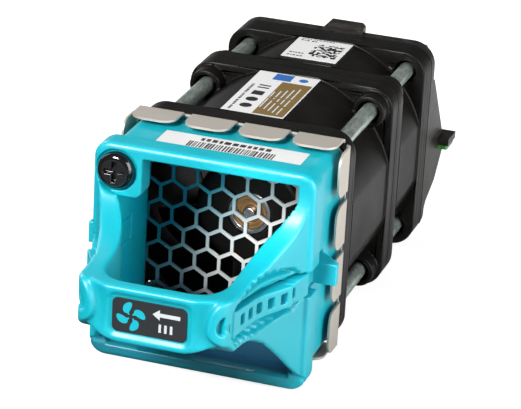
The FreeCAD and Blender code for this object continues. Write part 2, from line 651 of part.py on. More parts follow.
def bezel_shape():
    rim = square_prism(S.rim_side, S.rim_corner, RIM_FRONT, RIM_BACK)
    rim = rim.makeFillet(0.9, [edge for edge in rim.Edges if abs(edge.BoundBox.YMax - RIM_FRONT) < 1e-6])
    mouth = block((-OPENING, OPENING), (RIM_FRONT - 1, RIM_BACK + 1), (-MOUTH, MOUTH))
    sleeve = square_prism(2 * SLEEVE, S.rim_corner - 0.8, RIM_BACK - 0.4, GUARD_FRONT)
    inside = square_prism(2 * OPENING, 1.6, RIM_FRONT, 0.0)
    shell = rim.cut(mouth).fuse(sleeve.cut(inside))
    shell = shell.fuse(handle_shape())
    boss = block((SCREW_X - S.screw_boss, SCREW_X + S.screw_boss), (RIM_FRONT, RIM_BACK),
                 (SCREW_Z - S.screw_boss, SCREW_Z + S.screw_boss))
    boss = boss.makeFillet(1.4, [edge for edge in boss.Edges if along(edge, AXIS_Y)])
    outside = square_prism(2 * SLEEVE, 1.0, RIM_FRONT - 1, 0.0)
    shell = shell.fuse(boss.common(outside))
    seat = rod(S.screw_head_radius + 0.45, RIM_FRONT - 3, RIM_FRONT + SCREW_SEAT, SCREW_X, SCREW_Z)
    hole = rod(S.screw_radius + 0.05, RIM_FRONT - 1, 1.0, SCREW_X, SCREW_Z)
    shell = shell.cut(seat).cut(hole)
    room = lever_room()
    return shell.cut(room).cut(mirrored_x(room))


# ---------------------------------------------------------------- latches

PIVOT_X = S.handle_half_width - S.lever_pivot_inset
PIVOT_Y = HANDLE_FRONT + S.lever_pivot_depth
PIVOT = Vector(PIVOT_X, PIVOT_Y, MIDDLE)
HOOK_FRONT = RIM_BACK + S.hook_setback
HOOK_TIP = RIM + S.hook_reach
LEVER_REST = SLEEVE - 0.15  # outer face of the lever's tail, just inside the sleeve's face


def lever_outer():
    """Outer edge of the right latch lever seen from above: along the cheek, then under the rim."""
    half = S.handle_half_width
    return [(half - 0.25, HANDLE_FRONT + S.handle_corner - 0.2), (half + 0.1, RIM_FRONT - 18.0),
            (half + 0.7, RIM_FRONT - 13.0), (half + 1.95, RIM_FRONT - 8.2), (half + 3.7, RIM_FRONT - 4.0),
            (LEVER_REST, RIM_FRONT + 0.6), (LEVER_REST, HOOK_FRONT - 1.0)]


def offset_inwards(points, distance):
    """Points moved sideways by a distance, square to the line through their neighbours."""
    moved = []
    for i, (x, y) in enumerate(points):
        before = points[max(i - 1, 0)]
        after = points[min(i + 1, len(points) - 1)]
        run = Vector(after[0] - before[0], after[1] - before[1], 0).normalize()
        moved.append((x - run.y * distance, y + run.x * distance))
    return moved


def lever_plan(margin=0.0):
    """The right lever seen from above; margin widens it on both sides for its slot in the bezel."""
    outer = offset_inwards(lever_outer(), -margin)
    inner = offset_inwards(lever_outer(), S.lever_thickness + margin)
    end_y = HOOK_FRONT + S.hook_length + margin
    outer_edge = curve([(x, y, 0) for x, y in outer]).toShape()
    inner_edge = curve([(x, y, 0) for x, y in reversed(inner)]).toShape()
    inner_last, outer_last = inner[-1], outer[-1]
    front = Part.LineSegment(Vector(*inner[0], 0), Vector(*outer[0], 0)).toShape()
    tail_points = [Vector(*outer_last, 0), Vector(outer_last[0], end_y, 0), Vector(inner_last[0], end_y, 0),
                   Vector(*inner_last, 0)]
    tail = [Part.LineSegment(tail_points[i], tail_points[i + 1]).toShape() for i in range(3)]
    return Part.Face(Part.Wire([outer_edge] + tail + [inner_edge, front]))


def lever_heights(margin=0.0):
    """The lever seen from the side: tallest at its finger end, narrowing to the hook."""
    front_half = 2.6 + margin
    back_half = 1.75 + margin
    hook_half = S.hook_half_height + margin
    front_y = PIVOT_Y - 3.0
    strap_end = RIM_FRONT - 3.6
    back_y = HOOK_FRONT + S.hook_length + 2.0
    points = [(front_y, front_half), (strap_end, back_half), (strap_end + 0.6, hook_half),
              (back_y, hook_half)]
    above = [Vector(0, y, MIDDLE + z) for y, z in points]
    below = [Vector(0, y, MIDDLE - z) for y, z in reversed(points)]
    return Part.Face(Part.makePolygon(above + below + above[:1])).extrude(Vector(2 * RIM, 0, 0))


def upright(face, half=8.0):
    prism = face.extrude(Vector(0, 0, 2 * half))
    prism.translate(Vector(0, 0, MIDDLE - half))
    return prism


def stub(radius, reach):
    return Part.makeCylinder(radius, 2 * reach, PIVOT - Vector(0, 0, reach), AXIS_Z)


def lever_shape():
    """The right latch lever with its pivot stubs, grip windows and hook."""
    strap = upright(lever_plan()).common(lever_heights())
    knuckle = stub(S.lever_knuckle, 2.4)
    web_x = (PIVOT_X - 0.4, S.handle_half_width - 0.6)
    web = block(web_x, (PIVOT_Y - 0.6, PIVOT_Y + 1.5), (MIDDLE - 2.3, MIDDLE + 2.3))
    hook_back = HOOK_FRONT + S.hook_length
    hook_plan = [Vector(LEVER_REST - 1.0, HOOK_FRONT, 0), Vector(HOOK_TIP, HOOK_FRONT, 0),
                 Vector(HOOK_TIP, HOOK_FRONT + 1.4, 0), Vector(LEVER_REST, hook_back, 0),
                 Vector(LEVER_REST - 1.0, hook_back, 0)]
    hook = upright(Part.Face(Part.makePolygon(hook_plan + hook_plan[:1])), S.hook_half_height)
    lever = strap.multiFuse([knuckle, web, hook, stub(S.lever_knuckle - 0.25, 3.5)])
    for step in range(6):
        y = PIVOT_Y + 3.4 + 2.7 * step
        half = 1.45 - 0.1 * step
        window = block((PIVOT_X, 2 * RIM), (y - 0.7, y + 0.7), (MIDDLE - half, MIDDLE + half))
        lever = lever.cut(window)
    return lever.removeSplitter()


def lever_room():
    """The space the right lever needs in the bezel over its whole swing, open to the outside."""
    margin = S.lever_clearance
    plan = upright(lever_plan(margin)).common(lever_heights(margin))
    outward = plan.copy()
    outward.translate(Vector(2.0, 0, 0))
    room = plan.fuse(outward)
    for share in (0.35, 0.7, 1.0):
        swung = plan.copy()
        swung.rotate(PIVOT, AXIS_Z, share * S.lever_swing)
        room = room.fuse(swung)
    knuckle = stub(S.lever_knuckle + margin, 2.4 + margin)
    web = block((PIVOT_X - 1.1, S.handle_half_width), (PIVOT_Y - 1.0, PIVOT_Y + 2.2),
                (MIDDLE - 2.3 - margin, MIDDLE + 2.3 + margin))
    return room.multiFuse([knuckle, web, stub(S.lever_knuckle - 0.20, 3.6)])


add_shape("front_bezel", bezel_shape())
add_shape("latch_right", lever_shape())
add_shape("latch_left", mirrored_x(lever_shape()))

# ---------------------------------------------------------------- finger guard and spring fingers


def hexagon(x, z, flats, start, end):
    """A pointy-topped six-sided bar along the axis."""
    corner_radius = flats / math.sqrt(3)
    corners = [Vector(x + corner_radius * math.sin(i * math.pi / 3), start,
                      z + corner_radius * math.cos(i * math.pi / 3)) for i in range(7)]
    return Part.Face(Part.makePolygon(corners)).extrude(Vector(0, end - start, 0))


def guard_shape():
    """Square plate with a honeycomb inside a plain border, and a hole for the bezel screw."""
    half = S.frame_side / 2 - 0.6
    plate = block((-half, half), (GUARD_FRONT, 0), (-half, half))
    plate = plate.makeFillet(S.frame_corner - 0.6, [edge for edge in plate.Edges if along(edge, AXIS_Y)])
    window = half - S.guard_margin
    row_step = S.cell_pitch * math.sqrt(3) / 2
    rows = int(window / row_step) + 1
    columns = int(window / S.cell_pitch) + 1
    cells_cut = []
    for row in range(-rows, rows + 1):
        for column in range(-columns, columns + 1):
            x = S.cell_shift_x + (column + 0.5 * (row % 2)) * S.cell_pitch
            z = S.cell_shift_z + row * row_step
            if max(abs(x), abs(z)) < window:
                cells_cut.append(hexagon(x, z, S.cell_pitch - S.cell_web, GUARD_FRONT - 1, 1))
    field = block((-window, window), (GUARD_FRONT - 2, 2), (-window, window))
    field = field.cut(rod(S.screw_radius + 1.4, GUARD_FRONT - 3, 3, SCREW_X, SCREW_Z))
    plate = plate.cut(Part.makeCompound(cells_cut).common(field))
    return plate.cut(rod(S.screw_radius + 0.2, GUARD_FRONT - 1, 1, SCREW_X, SCREW_Z))


def finger_strip_shape():
    """The top strip: a foot on the front flange and a row of fingers bent forward over the sleeve."""
    thick = S.guard_thickness
    top = S.frame_side / 2 + S.finger_lift
    count = int(S.finger_count)
    pitch = S.frame_side / count
    half_span = 0.5 * S.frame_side - 1.2
    foot_low = S.frame_side / 2 - S.finger_foot
    width = pitch - S.finger_gap
    bend = top - foot_low
    strip = block((-half_span, half_span), (GUARD_FRONT, 0), (foot_low, foot_low + thick))
    for i in range(count):
        left = (i - (count - 1) / 2) * pitch - width / 2
        outside = Part.makeCylinder(bend, width, Vector(left, -bend, foot_low), AXIS_X)
        inside = Part.makeCylinder(bend - thick, width + 2, Vector(left - 1, -bend, foot_low), AXIS_X)
        corner = block((left, left + width), (-bend, 0), (foot_low, top))
        tongue = block((left, left + width), (-S.finger_length, -bend), (top - thick, top))
        front_corners = [edge for edge in tongue.Edges if along(edge, AXIS_Z)
                         and edge.BoundBox.YMax < -S.finger_length + 1e-6]
        tongue = tongue.makeFillet(S.finger_corner, front_corners)
        strip = strip.multiFuse([outside.common(corner).cut(inside), tongue])
    return strip.removeSplitter()


add_shape("honeycomb_guard", guard_shape())
for name, degrees in zip(("top", "right", "bottom", "left"), QUARTERS):
    add_shape(f"finger_strip_{name}", finger_strip_shape(),
              FreeCAD.Placement(Vector(), FreeCAD.Rotation(AXIS_Y, degrees)))

# ---------------------------------------------------------------- rear bracket and connector

REAR = S.front_fan_length + S.rear_fan_length
PLATE_BACK_Y = REAR + S.plate_thickness
BOARD_TOP = -S.board_drop
BOARD_LOW = BOARD_TOP - S.circuit_thickness
NOSE = REAR + S.nose_reach


def bracket_shape():
    """Plate behind the rear fan, a keying tab on top and a side wing that shields the connector board."""
    half = S.frame_side / 2
    plate = square_prism(S.frame_side, S.frame_corner, REAR, PLATE_BACK_Y)
    tab_points = [(-3.4, half - 0.5), (-1.2, half + 1.9), (5.0, half + 1.9), (5.6, half + 1.3),
                  (5.6, half - 0.5)]
    tab = [Vector(x, REAR, z) for x, z in tab_points]
    plate = plate.fuse(Part.Face(Part.makePolygon(tab + tab[:1])).extrude(Vector(0, S.plate_thickness, 0)))
    plate = plate.cut(rod(BORE, REAR - 1, PLATE_BACK_Y + 1))
    wing_in = half - S.wing_thickness
    wing_points = [(REAR, 13.5), (PLATE_BACK_Y + 1.0, 12.2), (NOSE - 2.0, -2.2), (NOSE, -2.2),
                   (NOSE, -4.6), (NOSE - 6.0, -10.8), (PLATE_BACK_Y + 1.0, -13.4), (REAR, -17.0)]
    wing = [Vector(wing_in, y, z) for y, z in wing_points]
    wing_plate = Part.Face(Part.makePolygon(wing + wing[:1])).extrude(Vector(S.wing_thickness, 0, 0))
    nose = block((wing_in, half + 2.2), (NOSE - 5.5, NOSE), (BOARD_TOP + 0.3, BOARD_TOP + 1.7))
    shelf = block((2.0, half), (REAR + 0.2, NOSE - 4.0), (BOARD_TOP, BOARD_TOP + S.shelf_thickness))
    bracket = plate.multiFuse([wing_plate, nose, shelf])
    for x in (-1, 1):
        for z in (-1, 1):
            hole = rod(S.rod_radius + 0.1, REAR - 1, PLATE_BACK_Y + 1, x * ROD_AT, z * ROD_AT)
            bracket = bracket.cut(hole)
    for x, y in board_screw_places():
        radius = S.board_screw_radius + 0.05
        bracket = bracket.cut(Part.makeCylinder(radius, 3, Vector(x, y, BOARD_TOP - 1), AXIS_Z))
    return bracket.removeSplitter()


def board_screw_places():
    return [(S.tongue_left + i * S.board_screw_pitch, REAR + 0.43 * S.nose_reach) for i in (0, 1)]


def connector_board_shape():
    """Card-edge board under the bracket's shelf, with its tongue reaching past the wing."""
    start = PLATE_BACK_Y + 0.8
    left, right = S.tongue_left - 3.5, S.frame_side / 2 - S.wing_thickness - 0.2
    points = [(left, start), (right, start), (right, NOSE), (S.tongue_left, NOSE),
              (S.tongue_left, NOSE - 4.0), (left, NOSE - 6.0)]
    outline = [Vector(x, y, BOARD_LOW) for x, y in points]
    board = Part.Face(Part.makePolygon(outline + outline[:1])).extrude(Vector(0, 0, S.circuit_thickness))
    for x, y in board_screw_places():
        radius = S.board_screw_radius + 0.35
        hole = Part.makeCylinder(radius, S.circuit_thickness + 2, Vector(x, y, BOARD_LOW - 1), AXIS_Z)
        board = board.cut(hole)
    return board


def contact_pads_shape():
    """Gold contact fingers on the underside of the board's tongue."""
    end = NOSE - 0.3
    pads = []
    for i in range(int(S.pad_count)):
        left = S.tongue_left + 0.7 + i * S.pad_pitch
        pads.append(block((left, left + S.pad_width), (end - S.pad_length, end),
                          (BOARD_LOW - S.pad_thickness, BOARD_LOW)))
    return Part.makeCompound(pads)


def board_screws_shape():
    """Two small pan-head screws that hold the board up against the shelf."""
    head_height = 0.7 * S.board_screw_head
    reach = S.circuit_thickness + S.shelf_thickness
    slot_top = BOARD_LOW - 0.5 * head_height
    long, narrow = 0.7 * S.board_screw_head, 0.12 * S.board_screw_head
    screws = []
    for x, y in board_screw_places():
        foot = Vector(x, y, BOARD_LOW - head_height)
        head = Part.makeCylinder(S.board_screw_head, head_height, foot, AXIS_Z)
        for half_x, half_y in ((long, narrow), (narrow, long)):
            head = head.cut(block((x - half_x, x + half_x), (y - half_y, y + half_y),
                                  (BOARD_LOW - 2 * head_height, slot_top)))
        shank = Part.makeCylinder(S.board_screw_radius, reach, Vector(x, y, BOARD_LOW), AXIS_Z)
        screws.append(head.fuse(shank))
    return Part.makeCompound(screws)


add_shape("rear_bracket", bracket_shape())
add_shape("connector_board", connector_board_shape())
add_shape("contact_pads", contact_pads_shape())
add_shape("board_screws", board_screws_shape())

# ---------------------------------------------------------------- rods, nuts and screws


def make_tie_rods():
    """Four threaded rods from inside the front flange to behind the rear bracket."""
    body = new_body("tie_rods")
    sketch = new_sketch(body, "rod", "rod_seat + 0.1")
    draw_circle(sketch, "rod_radius", ROD_PLACE, ROD_PLACE)
    length = "front_fan_length + rear_fan_length + plate_thickness + nut_height + 0.6 - rod_seat - 0.1"
    add_ring_pattern(body, add_pad(body, sketch, length), 4)


def make_rod_nuts():
    """Hexagon nuts that clamp the stack from behind."""
    body = new_body("rod_nuts")
    sketch = new_sketch(body, "nut", "front_fan_length + rear_fan_length + plate_thickness")
    corners = []
    for i in range(6):
        across = math.cos(i * math.pi / 3)
        upward = math.sin(i * math.pi / 3)
        corners.append((f"{ROD_PLACE} + nut_radius * {across:.6f}",
                        f"{ROD_PLACE} + nut_radius * {upward:.6f}"))
    draw_polygon(sketch, corners)
    draw_circle(sketch, "rod_radius", ROD_PLACE, ROD_PLACE)
    add_ring_pattern(body, add_pad(body, sketch, "nut_height"), 4)


def bezel_screw_shape():
    """Cross-recess pan-head screw that runs through the bezel to the end of a tie rod."""
    x, z = SCREW_X, SCREW_Z
    seat = RIM_FRONT + SCREW_SEAT
    front = seat - S.screw_head_height
    head = rod(S.screw_head_radius, front, seat, x, z)
    head = head.makeFillet(1.2, [edge for edge in head.Edges if edge.Closed
                                 and abs(edge.BoundBox.YMax - front) < 1e-6])
    for width, height in ((3.8, 0.9), (0.9, 3.8)):
        across = (x - width / 2, x + width / 2)
        head = head.cut(block(across, (front - 1, front + 1.1), (z - height / 2, z + height / 2)))
    return head.fuse(rod(S.screw_radius, seat, S.rod_seat, x, z))


make_tie_rods()
make_rod_nuts()
add_shape("bezel_screw", bezel_screw_shape())

# ---------------------------------------------------------------- labels


def make_direction_label():
    body = new_body("direction_label")
    sketch = new_sketch(body, "card", "label_depth - 0.3 - handle_front")
    draw_rectangle(sketch, "label_width", "label_height", "0", f"{MIDDLE}")
    add_pad(body, sketch, "0.3")
    round_edges(body, "1.0", lambda edge: along(edge, AXIS_Y))


def make_top_label(label, width, start, end, height, across):
    """A flat sticker on a top face; height is the face under it."""
    body = new_body(label)
    sketch = new_sketch(body, "paper", height, role="XY_Plane")
    draw_rectangle(sketch, width, f"( {end} ) - ( {start} )", across, f"( ( {start} ) + ( {end} ) ) / 2")
    add_pad(body, sketch, "sticker_thickness", backwards=False)


make_direction_label()
make_top_label("barcode_label", "barcode_width", "rim_depth - rim_front + 0.3",
               "-1 * finger_length - 0.4", "rim_side / 2 - sleeve_step", "1.6")
make_top_label("front_fan_label", "front_sticker_width", "front_open_flange + 0.2",
               "front_fan_length - front_base_flange - 0.1", DUCT_FLAT, "-0.2")
make_top_label("rear_fan_label", "rear_sticker_width", "front_fan_length + rear_base_flange + 2.8",
               "front_fan_length + rear_fan_length - rear_open_flange - 0.1", DUCT_FLAT, "0")

# ---------------------------------------------------------------- check and write

doc.recompute()
for item in doc.Objects:
    if "Invalid" in item.State or "Error" in item.State:
        raise RuntimeError(f"{item.Name} failed: {item.State}")
os.makedirs("parts", exist_ok=True)
for node in NODES:
    shape = node.Shape
    if shape.isNull() or not shape.isValid() or not shape.Solids:
        raise RuntimeError(f"{node.Label} has no valid solid")
    shape.exportStep(os.path.join("parts", f"{node.Label}.step"))
    print(f"{node.Label:24s} {len(shape.Solids):3d} solid(s) {shape.Volume:10.1f} mm3")
print(len(NODES), "nodes")
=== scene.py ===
# %% [markdown]
# # A server's fan module in soft studio light
# The module is a hot-swap cooling unit from a flat server or switch: two 40 mm fans in one long box, a
# moulded teal bezel that is both handle and latch, a metal honeycomb over the inlet and a small plug
# board at the back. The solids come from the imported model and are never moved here. This file gives them
# soft moulded edges, prints, ribs and finishes, one piece after another. Each step says first what the
# real piece is, how it could be made in Blender, and why this way was taken.

# %% Load the solids
import math

import bmesh
import bpy
from mathutils import Matrix, Vector


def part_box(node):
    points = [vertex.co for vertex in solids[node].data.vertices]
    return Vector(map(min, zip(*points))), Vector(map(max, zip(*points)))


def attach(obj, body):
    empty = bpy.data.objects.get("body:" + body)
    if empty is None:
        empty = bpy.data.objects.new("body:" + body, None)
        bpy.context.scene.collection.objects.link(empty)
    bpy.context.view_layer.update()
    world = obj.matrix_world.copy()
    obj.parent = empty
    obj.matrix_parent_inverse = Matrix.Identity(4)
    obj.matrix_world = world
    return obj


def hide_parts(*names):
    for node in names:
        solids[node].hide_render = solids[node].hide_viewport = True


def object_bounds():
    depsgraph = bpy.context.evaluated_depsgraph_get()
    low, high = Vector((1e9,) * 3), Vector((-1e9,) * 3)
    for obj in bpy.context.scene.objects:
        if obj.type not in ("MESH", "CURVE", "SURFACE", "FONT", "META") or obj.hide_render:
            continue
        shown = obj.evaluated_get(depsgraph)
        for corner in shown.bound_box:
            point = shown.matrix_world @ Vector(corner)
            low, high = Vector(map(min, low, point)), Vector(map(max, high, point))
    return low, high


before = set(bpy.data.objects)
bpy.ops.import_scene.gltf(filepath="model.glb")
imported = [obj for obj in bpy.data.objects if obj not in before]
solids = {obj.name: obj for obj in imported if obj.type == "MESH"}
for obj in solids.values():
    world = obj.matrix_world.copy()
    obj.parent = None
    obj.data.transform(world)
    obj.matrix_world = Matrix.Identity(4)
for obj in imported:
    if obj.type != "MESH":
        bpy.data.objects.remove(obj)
cad_low, cad_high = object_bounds()
print("solids:", len(solids), "box in mm:", [round(v * 1000, 1) for v in (*cad_low, *cad_high)])

# %% [markdown]
# ## Wiring finishes
# Every finish is a set of shader nodes. A small helper that adds a node, fills its sockets and joins them
# keeps the wiring readable. Writing each link by hand would also work, but one finish would then fill a
# page.

# %% A helper that adds one node
MM = 0.001
MM_PER_METRE = 1000.0


def find_socket(node, label):
    """A node's input by its number, as in i0 or i1, or by its name with underscores for blanks."""
    if label[0] == "i" and label[1:].isdigit():
        return node.inputs[int(label[1:])]
    return node.inputs[label.replace("_", " ")]


def add_node(tree, kind, settings=None, **sockets):
    """Adds a node. A socket's value is a number, a colour or another node's output."""
    node = tree.nodes.new(kind)
    for key, value in (settings or {}).items():
        setattr(node, key, value)
    for label, value in sockets.items():
        socket = find_socket(node, label)
        if isinstance(value, bpy.types.NodeSocket):
            tree.links.new(value, socket)
        else:
            socket.default_value = value
    return node


print("sizes are written in mm and multiplied by", MM)


# %% Helpers for sums, mixes and ranges
def maths(tree, operation, a, b=0.0):
    """One sum on one or two values."""
    node = add_node(tree, "ShaderNodeMath", {"operation": operation}, i0=a, i1=b)
    return node.outputs[0]


def mix_colour(tree, share, a, b):
    """Colour a where share is 0, colour b where it is 1."""
    node = add_node(tree, "ShaderNodeMix", {"data_type": "RGBA"}, i0=share, i6=a, i7=b)
    return node.outputs[2]


def spread(tree, value, low, high, to_low, to_high):
    """Stretches a range of values onto another one."""
    node = add_node(tree, "ShaderNodeMapRange", None, i0=value, i1=low, i2=high, i3=to_low, i4=to_high)
    return node.outputs[0]


def own_place(tree):
    """A point's place in its object's own space, in metres."""
    return add_node(tree, "ShaderNodeTexCoord").outputs["Object"]


def own_axes(tree):
    """The same place as three values: x, y and z."""
    return add_node(tree, "ShaderNodeSeparateXYZ", None, i0=own_place(tree)).outputs


print("node helpers:", [helper.__name__ for helper in (maths, mix_colour, spread, own_place, own_axes)])

# %% [markdown]
# ## Effects that several finishes share
# Moulding grain, worn edges and settled dust turn up on nearly every part, only stronger or weaker. Each
# is built once as a shader node group with named inputs, and a finish places it with its own numbers.
# Copying the nodes into every material would give the same picture, but a change would then have to be
# made a dozen times.

# %% A helper that starts a node group
def start_group(name, inputs, outputs):
    """An empty shader group with its sockets; gives the tree, its inputs and its output node."""
    tree = bpy.data.node_groups.new(name, "ShaderNodeTree")
    for label, value in inputs:
        socket = tree.interface.new_socket(name=label, in_out="INPUT", socket_type="NodeSocketFloat")
        socket.default_value = value
    for label in outputs:
        tree.interface.new_socket(name=label, in_out="OUTPUT", socket_type="NodeSocketFloat")
    return tree, tree.nodes.new("NodeGroupInput").outputs, tree.nodes.new("NodeGroupOutput")


print("groups so far:", len(bpy.data.node_groups))

# %% [markdown]
# ### Moulding grain
# A moulded or cast skin isn't quite smooth: the tool leaves a fine grain, and the gloss drifts slowly
# from place to place. Two noises in the object's own space do both, so nothing depends on a flat
# unwrapping.

# %% Moulding grain
grain, grain_in, grain_out = start_group(
    "moulding_grain", [("Grain Size", 0.4), ("Drift Size", 9.0)], ["Height", "Drift"])
place = own_place(grain)
fine = add_node(grain, "ShaderNodeTexNoise", None, Vector=place, Detail=3.0, Roughness=0.6,
                Scale=maths(grain, "DIVIDE", MM_PER_METRE, grain_in["Grain Size"]))
slow = add_node(grain, "ShaderNodeTexNoise", None, Vector=place, Detail=2.0, Roughness=0.5,
                Scale=maths(grain, "DIVIDE", MM_PER_METRE, grain_in["Drift Size"]))
grain.links.new(fine.outputs[0], grain_out.inputs["Height"])
grain.links.new(spread(grain, slow.outputs[0], 0.3, 0.7, 0.0, 1.0), grain_out.inputs["Drift"])
print("group:", grain.name)

# %% [markdown]
# ### Worn edges
# Handling polishes and lightens outer edges. The Bevel node looks a little way round each point and tilts
# the normal near an edge; how far it tilts is the mask. A painted mask would need an unwrapping, and the
# mesh's own pointiness fails on the big flat faces of machine-made solids.

# %% Worn edges
LEAN_STARTS, LEAN_FULL = 0.995, 0.86   # how well the rounded normal still agrees with the flat one

wear, wear_in, wear_out = start_group(
    "edge_wear", [("Width", 0.3), ("Amount", 1.0), ("Breakup Size", 2.5)], ["Mask"])
rounded = add_node(wear, "ShaderNodeBevel", {"samples": 4},
                   Radius=maths(wear, "MULTIPLY", wear_in["Width"], MM)).outputs[0]
flat = add_node(wear, "ShaderNodeNewGeometry").outputs["Normal"]
agreement = add_node(wear, "ShaderNodeVectorMath", {"operation": "DOT_PRODUCT"}, i0=rounded, i1=flat)
lean = agreement.outputs["Value"]
edge = spread(wear, lean, LEAN_STARTS, LEAN_FULL, 0.0, 1.0)
patch = add_node(wear, "ShaderNodeTexNoise", None, Vector=own_place(wear), Detail=4.0,
                 Scale=maths(wear, "DIVIDE", MM_PER_METRE, wear_in["Breakup Size"]))
broken = maths(wear, "MULTIPLY", edge, spread(wear, patch.outputs[0], 0.35, 0.6, 0.25, 1.0))
wear.links.new(maths(wear, "MULTIPLY", broken, wear_in["Amount"]), wear_out.inputs["Mask"])
print("group:", wear.name)

# %% [markdown]
# ### Settled dust
# Dust lies on faces that look up and gathers in patches. The normal's upward part times a soft noise
# gives a mask that only warms the colour a little and dulls the gloss, because this module is nearly new.

# %% Settled dust
dust, dust_in, dust_out = start_group("settled_dust", [("Amount", 0.1), ("Patch Size", 6.0)], ["Mask"])
upward = add_node(dust, "ShaderNodeSeparateXYZ", None,
                  i0=add_node(dust, "ShaderNodeNewGeometry").outputs["Normal"]).outputs[2]
patches = add_node(dust, "ShaderNodeTexNoise", None, Vector=own_place(dust), Detail=5.0, Roughness=0.65,
                   Scale=maths(dust, "DIVIDE", MM_PER_METRE, dust_in["Patch Size"]))
lying = maths(dust, "MULTIPLY", spread(dust, upward, 0.2, 1.0, 0.15, 1.0),
              spread(dust, patches.outputs[0], 0.4, 0.65, 0.1, 1.0))
dust.links.new(maths(dust, "MULTIPLY", lying, dust_in["Amount"]), dust_out.inputs["Mask"])
print("group:", dust.name)


# %% A helper that places a group in a finish
def place_group(tree, group, **values):
    """Places a shared effect with this finish's own numbers and gives its outputs."""
    node = add_node(tree, "ShaderNodeGroup", {"node_tree": group}, **values)
    return node.outputs


print("shared effects:", sorted(group.name for group in bpy.data.node_groups))

# %% [markdown]
# ## One recipe for plastics and metals
# A finish starts from a Principled BSDF. Grain moves its roughness and makes a faint bump, wear and dust
# change its colour, and whatever is the same all over is set on the shader's own sockets.

# %% A helper that starts a finish
DRIFT_TO_GRAIN = 22                        # a drift of gloss is this many grains wide
DUST_COLOUR = (0.42, 0.40, 0.37, 1.0)
DUST_DULLS = 0.5                           # roughness that full dust adds


def start_finish(name, colour, worn, rough, grain_size=0.4, bump=0.02, wear_width=0.25, wear_amount=0.5,
                 dust_amount=0.08, drift=0.08, **fixed):
    """A material with grain, worn edges and dust. fixed holds values for the shader's own sockets."""
    material = bpy.data.materials.new(name)
    material.use_nodes = True
    tree = material.node_tree
    shader = tree.nodes["Principled BSDF"]
    for label, value in fixed.items():
        shader.inputs[label.replace("_", " ")].default_value = value
    skin = place_group(tree, grain, Grain_Size=grain_size, Drift_Size=grain_size * DRIFT_TO_GRAIN)
    worn_mask = place_group(tree, wear, Width=wear_width, Amount=wear_amount)["Mask"]
    dust_mask = place_group(tree, dust, Amount=dust_amount)["Mask"]
    shade = mix_colour(tree, worn_mask, colour, worn)
    shade = mix_colour(tree, dust_mask, shade, DUST_COLOUR)
    tree.links.new(shade, shader.inputs["Base Color"])
    gloss = maths(tree, "ADD", spread(tree, skin["Drift"], 0.0, 1.0, rough - drift / 2, rough + drift / 2),
                  maths(tree, "MULTIPLY", dust_mask, DUST_DULLS))
    tree.links.new(gloss, shader.inputs["Roughness"])
    raised = add_node(tree, "ShaderNodeBump", None, Strength=0.6, Distance=bump * MM, Height=skin["Height"])
    tree.links.new(raised.outputs[0], shader.inputs["Normal"])
    return material, tree, shader, shade


print("one recipe for all finishes, dust colour:", DUST_COLOUR[:3])

# %% [markdown]
# ### One finish for each material slot
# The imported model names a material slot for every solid: black fan plastic, spring steel, zinc, bronze,
# copper, board, gold and paper. Each slot gets a finish of its own in a table, so that two kinds of metal
# can be compared line by line. The blacks are kept very dark with little sheen, because the real ones
# nearly swallow the light.

# %% First finishes
def plain(name, colour, worn, rough, **more):
    """A finish that needs nothing else yet, from plain red, green and blue shares."""
    return start_finish(name, (*colour, 1.0), (*worn, 1.0), rough, **more)[0]


finishes = {
    "fan_plastic": plain("fan_black", (0.0045, 0.0040, 0.0036), (0.03, 0.028, 0.026), 0.38,
                         dust_amount=0.01, Specular_IOR_Level=0.17),
    "bracket_plastic": plain("bracket_black", (0.0045, 0.0042, 0.0040), (0.03, 0.028, 0.026), 0.34,
                             dust_amount=0.01, Specular_IOR_Level=0.25),
    "finger_metal": plain("finger_spring", (0.54, 0.50, 0.445), (0.78, 0.76, 0.72), 0.45, Metallic=0.45),
    "zinc_steel": plain("rod_zinc", (0.56, 0.65, 0.60), (0.7, 0.72, 0.7), 0.27, Metallic=0.72, drift=0.2),
    "black_steel": plain("screw_black", (0.004, 0.004, 0.005), (0.06, 0.06, 0.06), 0.13,
                         dust_amount=0.0, Specular_IOR_Level=0.9),
    "bright_steel": plain("bearing_steel", (0.62, 0.62, 0.62), (0.8, 0.8, 0.8), 0.25, Metallic=1.0),
    "core_steel": plain("core_laminations", (0.35, 0.35, 0.36), (0.5, 0.5, 0.5), 0.4, Metallic=1.0),
    "bush_metal": plain("bush_bronze", (0.30, 0.165, 0.065), (0.6, 0.42, 0.2), 0.28, Metallic=0.45),
    "copper_wire": plain("coil_copper", (0.55, 0.19, 0.08), (0.7, 0.3, 0.15), 0.3, Metallic=1.0),
    "magnet": plain("magnet_grey", (0.05, 0.05, 0.055), (0.15, 0.15, 0.15), 0.5),
    "board_green": plain("board_mask", (0.03, 0.22, 0.03), (0.05, 0.3, 0.12), 0.3, Coat_Weight=0.4),
    "gold_pads": plain("pad_gold", (0.83, 0.62, 0.26), (0.9, 0.75, 0.4), 0.2, Metallic=1.0),
    "paper_white": plain("label_paper", (0.70, 0.70, 0.70), (0.75, 0.75, 0.74), 0.5),
    "label_dark": plain("label_film", (0.018, 0.020, 0.023), (0.04, 0.04, 0.04), 0.4, wear_amount=0.1),
}
print("finishes so far:", sorted(finishes))

# %% [markdown]
# ## Patterns left by making
# Stacked sheet shows its edges, wire shows its turns, a lathe leaves rings, and plating, rolling and
# moulding leave long streaks. Three small groups make these patterns in the object's own space, and each
# finish that needs one adds it to its bump and colour. Modelling such fine lines would cost a million
# faces.

# %% Bands
def wave(tree, length, pitch, trough):
    """Even waves along a length in metres, pitch mm apart; 0 where the sine is under trough, 1 on top."""
    turns = maths(tree, "DIVIDE", maths(tree, "MULTIPLY", length, MM_PER_METRE), pitch)
    swing = maths(tree, "SINE", maths(tree, "MULTIPLY", turns, 2 * math.pi))
    return spread(tree, swing, trough, -trough, 0.0, 1.0)


